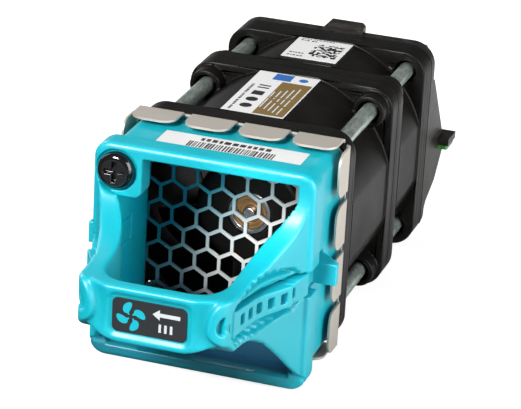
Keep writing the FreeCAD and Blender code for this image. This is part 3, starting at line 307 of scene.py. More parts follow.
bands, bands_in, bands_out = start_group(
    "fine_bands", [("Pitch", 0.35), ("Along X", 0.0), ("Along Y", 1.0), ("Along Z", 0.0)], ["Height"])
reading = own_axes(bands)
band_run = 0.0
for k, axis in enumerate("XYZ"):
    part = maths(bands, "MULTIPLY", reading[k], bands_in["Along " + axis])
    band_run = maths(bands, "ADD", band_run, part)
bands.links.new(wave(bands, band_run, bands_in["Pitch"], -0.8), bands_out.inputs["Height"])
print("group:", bands.name)

# %% Rings
rings, rings_in, rings_out = start_group("turned_rings", [("Pitch", 0.25)], ["Height"])
reading = own_axes(rings)
from_axis = maths(rings, "SQRT", maths(rings, "ADD", maths(rings, "MULTIPLY", reading[0], reading[0]),
                                       maths(rings, "MULTIPLY", reading[2], reading[2])))
rings.links.new(wave(rings, from_axis, rings_in["Pitch"], -1.0), rings_out.inputs["Height"])
print("group:", rings.name)

# %% Streaks
streaks, streaks_in, streaks_out = start_group(
    "long_streaks", [("Fine X", 3.0), ("Fine Y", 0.3), ("Fine Z", 3.0)], ["Height"])
reading = own_axes(streaks)
drawn = add_node(streaks, "ShaderNodeCombineXYZ")
for k, axis in enumerate("XYZ"):
    streaks.links.new(maths(streaks, "MULTIPLY", maths(streaks, "MULTIPLY", reading[k], MM_PER_METRE),
                            streaks_in["Fine " + axis]), drawn.inputs[k])
long_noise = add_node(streaks, "ShaderNodeTexNoise", None, Vector=drawn.outputs[0], Scale=1.0, Detail=3.0)
streaks.links.new(spread(streaks, long_noise.outputs[0], 0.3, 0.7, 0.0, 1.0), streaks_out.inputs["Height"])
print("group:", streaks.name)


# %% Add a pattern to a finish
patterned = []


def relief(slot, group, depth, tint, share, **values):
    """Adds a group's height to a finish's bump, depth in mm, and a tint where the pattern is high."""
    tree = finishes[slot].node_tree
    shader = tree.nodes["Principled BSDF"]
    height = place_group(tree, group, **values)["Height"]
    before = shader.inputs["Normal"].links[0].from_socket
    second = add_node(tree, "ShaderNodeBump", None, Strength=0.7, Distance=depth * MM, Height=height,
                      Normal=before)
    tree.links.new(second.outputs[0], shader.inputs["Normal"])
    shade = shader.inputs["Base Color"].links[0].from_socket
    tree.links.new(mix_colour(tree, maths(tree, "MULTIPLY", height, share), shade, (*tint, 1.0)),
                   shader.inputs["Base Color"])
    patterned.append(slot)


relief("core_steel", bands, 0.03, (0.12, 0.12, 0.13), 0.6, Pitch=0.35)
relief("copper_wire", bands, 0.05, (0.20, 0.05, 0.02), 0.6, Pitch=0.32, Along_X=0.6, Along_Y=0.5,
       Along_Z=0.6)
relief("bush_metal", rings, 0.01, (0.10, 0.05, 0.02), 0.5, Pitch=0.6)
relief("bright_steel", rings, 0.006, (0.35, 0.35, 0.36), 0.4, Pitch=0.3)
relief("zinc_steel", streaks, 0.012, (0.10, 0.13, 0.12), 0.55, Fine_X=1.6, Fine_Y=0.5, Fine_Z=1.6)
relief("finger_metal", streaks, 0.004, (0.52, 0.48, 0.42), 0.35, Fine_X=2.4, Fine_Y=0.15, Fine_Z=2.4)
relief("gold_pads", streaks, 0.003, (0.70, 0.50, 0.18), 0.4, Fine_X=5.0, Fine_Y=0.4, Fine_Z=5.0)
relief("bracket_plastic", streaks, 0.020, (0.035, 0.031, 0.028), 0.9, Fine_X=0.5, Fine_Y=0.25,
       Fine_Z=1.1)
relief("board_green", bands, 0.02, (0.10, 0.42, 0.10), 0.35, Pitch=1.3, Along_X=1.0, Along_Y=0.35)
relief("magnet", streaks, 0.01, (0.09, 0.09, 0.095), 0.4, Fine_X=1.2, Fine_Y=1.2, Fine_Z=1.2)
relief("paper_white", streaks, 0.003, (0.60, 0.60, 0.59), 0.25, Fine_X=0.9, Fine_Y=2.2, Fine_Z=0.9)
print("finishes with a making pattern:", len(patterned))

# %% [markdown]
# ### Parting lines round the fan flanges
# Each flange was moulded against a split tool and its halves were joined, which leaves hairlines round
# the outside. A group marks a hairline at one depth along the axis, and the fan's plastic places it seven
# times, the bracket's once. Cut grooves would be real shape too, but they are less than a fifth of a
# millimetre wide.

# %% A hairline
FLAT_SIDES = (0.0190, 0.0194)      # metres from the axis where the four flat sides begin, and are sure
CUT_CORNERS = (0.0345, 0.0350)     # the same for the cut corners, as the sum of both distances

hairline, hair_in, hair_out = start_group("parting_line", [("Depth", 0.0), ("Half Width", 0.09)], ["Mask"])
reading = own_axes(hairline)
side_x, side_z = maths(hairline, "ABSOLUTE", reading[0]), maths(hairline, "ABSOLUTE", reading[2])
on_flat = spread(hairline, maths(hairline, "MAXIMUM", side_x, side_z), *FLAT_SIDES, 0, 1)
on_corner = spread(hairline, maths(hairline, "ADD", side_x, side_z), *CUT_CORNERS, 0, 1)
outside = maths(hairline, "MAXIMUM", on_flat, on_corner)
depth_in_mm = maths(hairline, "MULTIPLY", reading[1], MM_PER_METRE)
off = maths(hairline, "ABSOLUTE", maths(hairline, "SUBTRACT", depth_in_mm, hair_in["Depth"]))
line = spread(hairline, maths(hairline, "DIVIDE", off, hair_in["Half Width"]), 1.3, 0.7, 0.0, 1.0)
hairline.links.new(maths(hairline, "MULTIPLY", line, outside), hair_out.inputs["Mask"])
print("group:", hairline.name)

# %% Place the hairlines
LINE_DEPTHS = {"fan_plastic": (1.3, 3.5, 31.1, 32.2, 33.3, 52.3, 54.2), "bracket_plastic": (56.12,)}
LINE_BLACK = (0.0008, 0.0008, 0.0008, 1.0)
LINE_DEEP, LINE_DULLS = 0.12, 0.5        # mm, and the roughness that a line adds

for slot_name, depths in LINE_DEPTHS.items():
    tree = finishes[slot_name].node_tree
    shader = tree.nodes["Principled BSDF"]
    lines = 0.0
    for depth in depths:
        lines = maths(tree, "ADD", lines, place_group(tree, hairline, Depth=depth)["Mask"])
    sunk = add_node(tree, "ShaderNodeBump", {"invert": True}, Strength=1.0, Distance=LINE_DEEP * MM,
                    Height=lines, Normal=shader.inputs["Normal"].links[0].from_socket)
    tree.links.new(sunk.outputs[0], shader.inputs["Normal"])
    shade = shader.inputs["Base Color"].links[0].from_socket
    tree.links.new(mix_colour(tree, lines, shade, LINE_BLACK), shader.inputs["Base Color"])
    rough_before = shader.inputs["Roughness"].links[0].from_socket
    tree.links.new(maths(tree, "ADD", rough_before, maths(tree, "MULTIPLY", lines, LINE_DULLS)),
                   shader.inputs["Roughness"])
print("parting lines placed:", {slot_name: len(depths) for slot_name, depths in LINE_DEPTHS.items()})

# %% [markdown]
# ### Moulded teal
# The bezel's plastic is glossy and lets a little light in, so its shadows turn blue. Subsurface
# scattering that reaches further in blue does that. The floor of the air path and the cheeks' hollow ends
# get a painted shade under the handle: a deep blue, with more roughness. The sill under them gets a painted
# shade that fades out towards the right, and the left wall of the air path gets a painted light, lighter
# and bluer. The pale worn edges are wear and also a painted highlight on the crests. Masks over height
# and depth find these places, where a second material would need its faces picked by hand.

# %% Mix the teal
SCATTER_REACH = 3.0                  # mm
SCATTER_SHARES = (0.15, 0.8, 1.4)    # of that reach, in red, green and blue

# The pale worn-edge colour and its strong amount make the worn edges both wear and a painted highlight
# along the crests.
teal, teal_tree, teal_shader, teal_shade = start_finish(
    "moulded_teal", (0.0, 0.405, 0.49, 1.0), (0.15, 0.64, 0.70, 1.0), 0.40, wear_amount=0.55,
    dust_amount=0.01, Specular_IOR_Level=0.75, Subsurface_Weight=0.35,
    Subsurface_Scale=SCATTER_REACH * MM, Subsurface_Radius=SCATTER_SHARES)
sideways, along_axis, height = own_axes(teal_tree)
across = maths(teal_tree, "ABSOLUTE", sideways)
print("teal scatters light over mm:", [round(SCATTER_REACH * share, 2) for share in SCATTER_SHARES])


# %% Places on the teal
CHEEK_FLARE = 0.39    # how fast the cheeks spread towards the rim


def inside(rows):
    """A mask that is 1 where every reading is on its wanted side; a row is (reading, zero at, one at)."""
    mask = 1.0
    for reading, none, full in rows:
        mask = maths(teal_tree, "MULTIPLY", mask, spread(teal_tree, reading, none, full, 0.0, 1.0))
    return mask


fanned = maths(teal_tree, "SUBTRACT", across, maths(teal_tree, "MULTIPLY", along_axis, CHEEK_FLARE))
# Painted shade: the floor of the air path and the cheeks' hollow ends under the handle are darkened as the
# handle's shadow.
floor_side = inside([(height, -0.0150, -0.0165),       # under the air path
                     (height, -0.0184, -0.0181),       # but above the floor's own underside
                     (along_axis, -0.0195, -0.0175),   # behind the sill
                     (across, 0.0184, 0.0180)])        # between the side walls
cheek_ends = inside([(height, -0.0082, -0.0096),       # under the handle
                     (height, -0.0176, -0.0168),       # above the sill
                     (fanned, 0.0261, 0.0257),         # within the cheek's outer skin
                     (along_axis, -0.0160, -0.0170)])  # in front of the rim
painted_deep_shade = maths(teal_tree, "MAXIMUM", floor_side, cheek_ends)
# Painted shade: the sill is darkened as the handle's shadow, which leaves its right end lit.
sill = inside([(height, -0.0168, -0.0178),             # low down
               (along_axis, -0.0180, -0.0192),         # at the very front of the rim
               (sideways, 0.0175, 0.0070)])            # fading out towards the right
# Painted light: the left wall of the air path is made lighter and bluer as the light that reaches it
# through the mouth.
duct_wall = inside([(sideways, -0.0128, -0.0142),      # the left wall of the air path
                    (along_axis, -0.0215, -0.0185),    # from the rim backwards
                    (across, 0.0192, 0.0186),          # but not its outside
                    (height, -0.0160, -0.0150),        # above the floor
                    (height, 0.0120, 0.0110)])         # and below the screw's boss
print("places on the teal: floor, cheek ends, sill and left wall")

# %% Paint light and shade on those places
# Painted light for the left wall, painted shade for the sill and for the deep places under the handle.
PAINTED_LIGHT_TEAL, SILL_SHADE_TEAL, DEEP_SHADE_TEAL = (0.0, 0.80, 1.0, 1.0), (0.0, 0.09, 0.14, 1.0), (0.0, 0.085, 0.17, 1.0)
PAINTED_LIGHT_SHARE, SILL_SHADE_SHARE = 0.85, 0.7
DEEP_SHADE_DULLS = 0.62     # roughness added where the deep shade is painted

# The painted light and the painted shades go into the colour, and roughness goes where the deep shade is
# painted.
lit = mix_colour(teal_tree, maths(teal_tree, "MULTIPLY", duct_wall, PAINTED_LIGHT_SHARE), teal_shade, PAINTED_LIGHT_TEAL)
sill_shaded = mix_colour(teal_tree, maths(teal_tree, "MULTIPLY", sill, SILL_SHADE_SHARE), lit, SILL_SHADE_TEAL)
teal_tree.links.new(mix_colour(teal_tree, painted_deep_shade, sill_shaded, DEEP_SHADE_TEAL), teal_shader.inputs["Base Color"])
teal_rough = teal_shader.inputs["Roughness"].links[0].from_socket
matt = maths(teal_tree, "MULTIPLY", painted_deep_shade, DEEP_SHADE_DULLS)
teal_tree.links.new(maths(teal_tree, "ADD", teal_rough, matt), teal_shader.inputs["Roughness"])
finishes["teal_plastic"] = teal
print("teal mixed, nodes:", len(teal_tree.nodes))

# %% [markdown]
# ### Painted reflection and shade on the guard
# The guard is bright plate. Its colour carries a painted blue-green reflection of the moulding around it,
# with painted shade, strongest at its upper left, and a painted shade and dark reflection at its foot,
# where the floor shades it. A slope across the plate paints this; a mirror-like metal alone would be too
# dark in here.

# %% Paint reflection and shade on the guard
PAINTED_REFLECTION_COLOUR, FOOT_SHADE_COLOUR = (0.04, 0.30, 0.38, 1.0), (0.005, 0.07, 0.12, 1.0)

guard, guard_tree, guard_shader, guard_shade = start_finish(
    "guard_plate", (0.80, 0.79, 0.76, 1.0), (0.9, 0.9, 0.9, 1.0), 0.30, Metallic=0.45)
plate = own_axes(guard_tree)
slope = maths(guard_tree, "SUBTRACT", plate[0], plate[2])
# Painted reflection of the teal moulding, with painted shade, strongest at the upper left.
painted_teal_reflection = spread(guard_tree, slope, -0.011, 0.005, 1.0, 0.0)
reflection_tinted = mix_colour(guard_tree, painted_teal_reflection, guard_shade, PAINTED_REFLECTION_COLOUR)
# Painted shade and dark reflection at the foot.
painted_foot_shade = spread(guard_tree, plate[2], -0.0125, -0.0155, 0.0, 1.0)
guard_tree.links.new(mix_colour(guard_tree, painted_foot_shade, reflection_tinted, FOOT_SHADE_COLOUR), guard_shader.inputs["Base Color"])
finishes["guard_steel"] = guard
print("guard cast runs from the upper left, nodes:", len(guard_tree.nodes))

# %% [markdown]
# ### From the slots to the solids
# Every solid arrives with its slot's name on a plain material. The finish of that slot takes its place,
# so no solid is left in one flat colour. Assigning by hand would do, but a loop can't forget one of 41
# solids.

# %% Give every solid its finish
for solid in solids.values():
    slot_name = solid.material_slots[0].material.name.split(".")[0]
    solid.material_slots[0].material = finishes[slot_name]
print("solids finished:", len(solids), "with finishes:", len(finishes))

# %% [markdown]
# ## The bezel as one moulding
# The real bezel comes out of one mould, so no edge on it is sharp and every join is blended. Bevelling
# the solid's edges breaks where curved cheeks, ribs and holes meet. Instead the solid is turned into fine
# voxels and smoothed, which rounds every edge and corner by about the same small radius, as a mould maker
# does.

# %% Copy a solid
WELD_DISTANCE = 1e-7    # metres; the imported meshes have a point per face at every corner


def new_piece(name, data):
    """A new object for a mesh, a lamp or a camera, placed in the scene."""
    piece = bpy.data.objects.new(name, data)
    bpy.context.scene.collection.objects.link(piece)
    return piece


def welded_copy(node, name):
    """A copy of a solid's mesh with its split edges joined again."""
    mesh = bmesh.new()
    mesh.from_mesh(solids[node].data)
    bmesh.ops.remove_doubles(mesh, verts=mesh.verts, dist=WELD_DISTANCE)
    data = bpy.data.meshes.new(name)
    mesh.to_mesh(data)
    mesh.free()
    return new_piece(name, data)


moulding = welded_copy("front_bezel", "bezel_moulding")
print("bezel solid faces:", len(moulding.data.polygons))


# %% Melt and smooth a piece
def settle(piece):
    """Applies a piece's modifiers, so that its mesh is final."""
    graph = bpy.context.evaluated_depsgraph_get()
    data = bpy.data.meshes.new_from_object(piece.evaluated_get(graph))
    piece.modifiers.clear()
    piece.data = data


def melt(piece, voxel):
    """Makes one skin of small voxels of a piece; voxel is their size in mm."""
    voxels = piece.modifiers.new("voxels", "REMESH")
    voxels.mode, voxels.voxel_size, voxels.use_smooth_shade = "VOXEL", voxel * MM, True
    settle(piece)


def smooth(piece, passes, group=""):
    """Adds a smoothing that moves each point halfway to its neighbours, so many times over."""
    rounder = piece.modifiers.new("smooth", "SMOOTH")
    rounder.factor, rounder.iterations, rounder.vertex_group = 0.5, passes, group


print("helpers:", settle.__name__, melt.__name__, smooth.__name__)

# %% [markdown]
# ### Webs in the handle's inner corners
# Where the grip bar meets the cheeks, the moulding swells into a wide curve that is kind to the fingers.
# The solid has a tight corner there. A small web with a hollow arc is laid into each corner before the
# voxel step, which melts it into the rest without a seam. A boolean union would leave a sharp join to
# bevel.

# %% Helpers for flat-ended blocks
def prism(outline, low, high, name):
    """A closed upright prism over an outline of (x, y) points in millimetres."""
    count = len(outline)
    corners = [(x * MM, y * MM, z * MM) for z in (low, high) for x, y in outline]
    faces = [tuple(reversed(range(count))), tuple(range(count, 2 * count))]
    faces += [(i, (i + 1) % count, count + (i + 1) % count, count + i) for i in range(count)]
    data = bpy.data.meshes.new(name)
    data.from_pydata(corners, [], faces)
    mesh = bmesh.new()
    mesh.from_mesh(data)
    bmesh.ops.recalc_face_normals(mesh, faces=mesh.faces)
    mesh.to_mesh(data)
    mesh.free()
    return new_piece(name, data)


def joined(target, others):
    """Adds other pieces' meshes to the target's and removes them."""
    mesh = bmesh.new()
    mesh.from_mesh(target.data)
    for other in others:
        mesh.from_mesh(other.data)
        bpy.data.objects.remove(other)
    mesh.to_mesh(target.data)
    mesh.free()


print("helpers:", prism.__name__, joined.__name__)

# %% Lay a web into each inner corner
BAR_BACK, CHEEK_INSIDE, WEB_ARC = -42.3, 10.9, 6.6
WEB_LOW, WEB_HIGH, WEB_OVERLAP, ARC_STEPS = -4.4, 5.1, 0.4, 12

webs = []
for side in (-1, 1):
    centre = (CHEEK_INSIDE - WEB_ARC, BAR_BACK + WEB_ARC)
    turns = [i * math.pi / 2 / ARC_STEPS for i in range(ARC_STEPS + 1)]
    arc = [(centre[0] + WEB_ARC * math.sin(t), centre[1] - WEB_ARC * math.cos(t)) for t in turns]
    corner_block = [(CHEEK_INSIDE + WEB_OVERLAP, BAR_BACK + WEB_ARC),
                    (CHEEK_INSIDE + WEB_OVERLAP, BAR_BACK - WEB_OVERLAP),
                    (centre[0], BAR_BACK - WEB_OVERLAP)]
    webs.append(prism([(side * x, y) for x, y in arc + corner_block], WEB_LOW, WEB_HIGH, "web"))
joined(moulding, webs)
print("webs laid in:", len(webs), "arc in mm:", WEB_ARC)

# %% [markdown]
# ### A map of the grip's outside
# The later forms follow the handle's outside round its corner, so each point of the skin gets two
# numbers: how far along the outside it lies, and how deep under it. Flat side views would smear the forms
# at the corner.

# %% Two ways to read a value
def between(value, stations):
    """Straight-line reading from a list of (position, value)."""
    for (p0, v0), (p1, v1) in zip(stations, stations[1:]):
        if value <= p1 or (p1, v1) == stations[-1]:
            share = min(1.0, max(0.0, (value - p0) / (p1 - p0)))
            return v0 + share * (v1 - v0)


def step(value, low, high):
    """0 below low, 1 above high, smooth between; low may be the larger."""
    t = min(1.0, max(0.0, (value - low) / (high - low)))
    return t * t * (3 - 2 * t)


print("a soft step, one quarter of the way:", step(0.25, 0.0, 1.0))

# %% Where a point lies on the handle's outside
BAR_CORNER = (9.7, -41.0)   # centre of the handle's front corner, seen from above
CORNER_REACH = 4.2
MIDDLE = 0.25               # height of the handle's middle line
CHEEK = [(-41.0, 13.9), (-34.2, 14.5), (-28.4, 15.8), (-23.7, 17.6), (-20.2, 19.3)]


def on_outside(x, y):
    """(length along the outside, depth under it, inward direction) for a point seen from above, in mm."""
    x = abs(x)
    dx, dy = x - BAR_CORNER[0], y - BAR_CORNER[1]
    if dy >= 0:
        return y, between(y, CHEEK) - x, (-1.0, 0.0)
    if dx <= 0:
        return BAR_CORNER[1] - CORNER_REACH * math.pi / 2 + dx, dy + CORNER_REACH, (0.0, 1.0)
    out = max(1e-6, math.hypot(dx, dy))
    along = BAR_CORNER[1] - CORNER_REACH * math.atan2(-dy, dx)
    return along, CORNER_REACH - out, (-dx / out, -dy / out)


print("corner starts at y mm:", BAR_CORNER[1])

# %% [markdown]
# ### Melt and soften
# The voxel remesh makes one skin of the solid and its webs. Smoothing then rounds the edges. The grip
# gets a second, longer smoothing, because its edges are much rounder than the rim's; the finger bowls are
# kept out of it.

# %% Melt and soften the moulding
BEZEL_VOXEL, EDGE_PASSES, GRIP_PASSES = 0.2, 4, 46
GRIP_STARTS, GRIP_FULL = -20.9, -24.0

melt(moulding, BEZEL_VOXEL)
grip_group = moulding.vertex_groups.new(name="grip")
for corner in moulding.data.vertices:
    x, y, z = (v / MM for v in corner.co)
    along, under, _ = on_outside(x, y)
    bowl = step(under, 2.2, 1.6) * step(abs(z - MIDDLE), 4.9, 4.4) * step(along, -45.5, -44.0)
    grip_group.add([corner.index], step(y, GRIP_STARTS, GRIP_FULL) * (1 - bowl), "REPLACE")
smooth(moulding, EDGE_PASSES)
smooth(moulding, GRIP_PASSES, "grip")
settle(moulding)
print("melted faces:", len(moulding.data.polygons))

# %% [markdown]
# ### Finger bowls
# Each side of the handle has a bowl for the fingers, in which the latch lever lies. Its walls slope down
# from a crest to a narrow groove along the lever, and low ribs cross them. These forms are too soft to
# describe as solids, so the skin's points are pushed about, as a modeller does with clay. The crests and
# grooves are given as heights at a few stations along the outside; a painted displacement would need an
# unwrapping.

# %% The bowl's lines, along the outside
UPPER_CREST = [(-43.0, 3.2), (-38.9, 4.6), (-36.2, 5.5), (-34.0, 6.1), (-30.4, 6.2), (-27.2, 5.7),
               (-24.3, 4.9), (-21.5, 4.0)]
UPPER_GROOVE = [(-40.0, 3.2), (-37.3, 3.5), (-33.8, 4.0), (-30.4, 4.35), (-26.0, 4.15), (-22.8, 3.8),
                (-20.2, 3.3)]
LOWER_CREST = [(-43.0, -3.0), (-38.4, -4.6), (-33.4, -5.0), (-31.0, -4.9), (-27.7, -4.5), (-24.9, -4.0)]
LOWER_GROOVE = [(-40.0, -2.9), (-37.6, -3.3), (-33.1, -3.3), (-28.8, -3.5), (-25.0, -3.4)]
BOWL_FRONT, BOWL_BACK = -42.0, -21.8
WALL_DEPTH, GROOVE_DEPTH = 1.15, 1.5
RIB_PITCH, FIRST_RIB, RIB_SHARE = 2.1, -26.7, 0.8
print("bowl reaches from", BOWL_FRONT, "to", BOWL_BACK, "along the outside, in mm")


# %% How deep the bowl is at a point
def wall_depth(z, crest, groove):
    """Depth of a bowl wall between its crest and its groove: nothing at the crest, most at the groove."""
    share = (crest - z) / (crest - groove)
    return WALL_DEPTH * step(share, 0.0, 1.0) if share <= 1.0 else 0.0


def ribbed(along):
    """1 on a rib, 0 between two ribs."""
    phase = (along - FIRST_RIB) / RIB_PITCH
    return step(abs(phase - round(phase)), 0.30, 0.20)


def bowl_push(along, z):
    """How far a point of the cheek's outside sinks to form the finger bowl."""
    if not BOWL_FRONT < along < BOWL_BACK:
        return 0.0
    ends = step(along, BOWL_FRONT, BOWL_FRONT + 1.5) * step(along, BOWL_BACK, BOWL_BACK - 1.2)
    ribs = 1 - RIB_SHARE * ribbed(along) * step(along, -24.5, -26.0)
    depth = 0.0
    for crest_line, groove_line, way in ((UPPER_CREST, UPPER_GROOVE, 1), (LOWER_CREST, LOWER_GROOVE, -1)):
        crest, groove = way * between(along, crest_line), way * between(along, groove_line)
        height = way * z
        if height > crest:
            continue
        slot = GROOVE_DEPTH * step(abs(height - groove + 0.15), 0.42, 0.12)
        depth = max(depth, wall_depth(height, crest, groove) * ribs, slot)
    return depth * ends


print("deepest wall at y mm -30:", round(max(bowl_push(-30.0, z / 10) for z in range(60)), 2), "mm")

# %% [markdown]
# ### Hollow ends of the cheeks
# Below the handle each cheek ends in a slanting face, and the real moulding is hollow there: an outer
# skin with a shallow recess behind it. Points that lie near the slanting face, inside the outer skin, are
# pushed inwards along the face's normal until they lie at the recess's depth. A boolean cut would leave a
# hard rim.

# %% Hollow the ends of the cheeks
END_NORMAL = (0.715, 0.699)        # y and z of the slanting face's inward direction
HOLLOW_DEPTH = 2.6
CHEEK_AT, CHEEK_HALF = -28.4, 15.8    # half width at one station; CHEEK_FLARE gives the rest


def end_depth(y, z):
    """Depth under the slanting end of a cheek, in mm, seen from the side."""
    return 26.3 + END_NORMAL[0] * y + END_NORMAL[1] * z


hollowed = 0
for corner in moulding.data.vertices:
    x, y, z = (v / MM for v in corner.co)
    if abs(x) < 11 or y > -18.5 or z > -7.5:
        continue
    outer = CHEEK_HALF + CHEEK_FLARE * (y - CHEEK_AT)
    within = step(abs(x), outer - 0.75, outer - 1.15) * step(z, -7.6, -9.2) * step(z, -17.3, -16.3)
    wanted = HOLLOW_DEPTH * within
    under = end_depth(y, z)
    if -0.6 < under < wanted:
        corner.co += Vector((0.0, *END_NORMAL)) * (wanted - under) * MM
        hollowed += 1
print("points of the cheek ends hollowed:", hollowed)

# %% [markdown]
# ### Bar, pocket and bowls
# The bar's lower edge lifts towards its front corners, its front face hollows beside the label, and each
# corner has a crescent pocket with a pillar in it, where the lever's front end is held. One pass over the
# skin works out how far each point lifts and sinks. The soft steps between nothing and full depth keep
# every rim rounded, and three light passes of smoothing then take away the last unevenness.

# %% Forms of the handle's corner
SKIN_DEPTH = 3.4                   # only points this near the outside are pushed
BAR_LIFT, POCKET_DEPTH, LIP_DEPTH = 1.6, 1.5, 0.9
POCKET_ALONG, POCKET_UP, PILLAR_ALONG = -43.4, 0.5, -43.2
POCKET_LONG, POCKET_HIGH = 2.1, 2.3
LIP_ALONG, LIP_UP, LIP_LONG, LIP_HIGH = -43.0, 0.4, 3.9, 4.6


def pocket_push(along, z):
    """The crescent pocket at the handle's corner, with a pillar left standing in it."""
    ring = math.hypot((along - POCKET_ALONG) / POCKET_LONG, (z - POCKET_UP) / POCKET_HIGH)
    pillar = step(abs(along - PILLAR_ALONG), 0.95, 0.7)
    return POCKET_DEPTH * step(ring, 1.0, 0.82) * step(along, -41.9, -42.3) * (1 - pillar)


def lip_push(along, z):
    """The shallow hollow round the pocket, which leaves a lip at its edge."""
    lip = math.hypot((along - LIP_ALONG) / LIP_LONG, (z - LIP_UP) / LIP_HIGH)
    return LIP_DEPTH * step(lip, 1.0, 1.2) * step(lip, 2.0, 1.3) * step(along, -43.5, -45.0)


print("pocket depth at its middle:", round(pocket_push(-44.6, 0.5), 2), "mm")

# %% Push the skin's points
TIDY_PASSES = 3

pushed = 0
for corner in moulding.data.vertices:
    x, y, z = (v / MM for v in corner.co)
    if y > GRIP_STARTS or abs(z) > 9 or abs(x) < 5:
        continue
    along, under, inward = on_outside(x, y)
    if under > SKIN_DEPTH:
        continue
    lift = BAR_LIFT * step(abs(x), 5.5, 12.0) * step(y, -40.5, -43.5) * step(z, 1.0, -4.6)
    push = step(under, 1.7, 1.2) * max(pocket_push(along, z), bowl_push(along, z), lip_push(along, z))
    if lift or push:
        pushed += 1
        sideways_push = push * inward[0] * (1 if x > 0 else -1)
        corner.co = Vector((x + sideways_push, y + push * inward[1], z + lift)) * MM
smooth(moulding, TIDY_PASSES)
settle(moulding)
print("points pushed:", pushed)

# %% Finish the bezel moulding
moulding.data.materials.clear()
moulding.data.materials.append(finishes["teal_plastic"])
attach(moulding, "module")
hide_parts("front_bezel")
print("bezel moulding faces:", len(moulding.data.polygons))

# %% [markdown]
# ## The two latch levers
# Each lever is a thick strap that lies in the finger bowl, with a row of grip windows, a low block where
# it dives under the rim, and the hook that holds the module in its bay. The solid runs flush with the
# cheek. Its skin is melted to voxels like the bezel's, then the strap and the block are pulled outwards
# and end in a step. Both levers ride on their own bodies, so they still swing.

# %% The lever's lines
LEVER_LINE = [(-41.2, 13.65), (-38.2, 14.0), (-33.2, 14.6), (-28.4, 15.85), (-24.2, 17.6), (-19.6, 18.75)]
STRAP_LIFT = [(-39.5, 0.0), (-36.0, 0.25), (-33.3, 0.4), (-31.1, 0.8), (-28.9, 1.4), (-25.7, 1.8)]
BLOCK_LIFT = 1.0
WINDOW_HALF = [(-38.0, 1.45), (-24.5, 0.95)]     # half heights in the solid
STRAP_HALF = [(-44.4, 2.6), (-23.8, 1.75)]
WANTED_WINDOW = 0.95                             # half heights that the skin gets
WANTED_STRAP = [(-40.0, 2.2), (-26.0, 1.9)]
LEVER_VOXEL, LEVER_PASSES = 0.12, 7


def standing_out(x, y):
    """How far a point of the lever's outside moves outwards: the strap rises, then the block behind it."""
    outer = 1.0 - step(between(y, LEVER_LINE) - abs(x), 0.25, 1.3)
    strap = between(y, STRAP_LIFT) * step(y, -25.3, -25.6)
    block = BLOCK_LIFT * step(y, -24.7, -24.4) * step(y, -19.0, -19.6)
    return outer * max(strap, block)


def drawn_in(y, height):
    """The new height of a point above or under the lever's middle line, with lower windows and strap."""
    window, half = between(y, WINDOW_HALF), between(y, STRAP_HALF)
    if height < window:
        return height * WANTED_WINDOW / window
    share = (height - window) / (half - window)
    return WANTED_WINDOW + share * (between(y, WANTED_STRAP) - WANTED_WINDOW)


print("strap stands out at y mm -26 by:", round(standing_out(18.0, -26.0), 2), "mm")


# %% Make both skins
def lever_skin(node, body, name):
    """A softened copy of a lever's solid with its strap and block standing out; it swings with its body."""
    skin = welded_copy(node, name)
    melt(skin, LEVER_VOXEL)
    for corner in skin.data.vertices:
        x, y, z = (v / MM for v in corner.co)
        corner.co.x += math.copysign(standing_out(x, y), x) * MM
        if -40.4 < y < -24.8 and abs(z - MIDDLE) < 2.7:
            corner.co.z = (MIDDLE + math.copysign(drawn_in(y, abs(z - MIDDLE)), z - MIDDLE)) * MM
    smooth(skin, LEVER_PASSES)
    settle(skin)
    skin.data.materials.clear()
    skin.data.materials.append(finishes["teal_plastic"])
    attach(skin, body)
    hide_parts(node)
    return skin


for side_name in ("right", "left"):
    lever = lever_skin("latch_" + side_name, "latch_" + side_name, "lever_skin_" + side_name)
    print(lever.name, "faces:", len(lever.data.polygons))

# %% [markdown]
# ## Broken edges on the hard parts
# A sharp edge catches no light, and no moulded, pressed or turned part has one. The solids arrive as
# triangles with split edges. A weld joins them, a flat dissolve removes the needless triangles, a bevel
# breaks the edges and weighted normals keep the flats flat. The fan frames keep their triangles, because
# their ring-shaped faces would tear when dissolved. The thin guard would tear as well, so it keeps its
# edges, and so do the stators, bearings and drive boards inside the hubs. These are modifiers, so the
# solids themselves stay as they came.

# %% Break the edges of a hard part
FLAT_ANGLE, EDGE_ANGLE = math.radians(0.4), math.radians(32.0)


def break_edges(node, width, segments, keep_triangles):
    """Adds the modifiers to a solid; width is in mm, and is never narrowed if the triangles are kept."""
    solid = solids[node]
    weld = solid.modifiers.new("weld", "WELD")
    weld.merge_threshold = WELD_DISTANCE
    if not keep_triangles:
        flats = solid.modifiers.new("flats", "DECIMATE")
        flats.decimate_type, flats.angle_limit = "DISSOLVE", FLAT_ANGLE
    bevel = solid.modifiers.new("broken_edges", "BEVEL")
    bevel.width, bevel.segments, bevel.limit_method = width * MM, segments, "ANGLE"
    bevel.angle_limit, bevel.miter_outer = EDGE_ANGLE, "MITER_ARC"
    bevel.use_clamp_overlap = not keep_triangles
    normals = solid.modifiers.new("normals", "WEIGHTED_NORMAL")
    normals.keep_sharp = False


print("an edge is broken where it turns by degrees:", round(math.degrees(EDGE_ANGLE)))

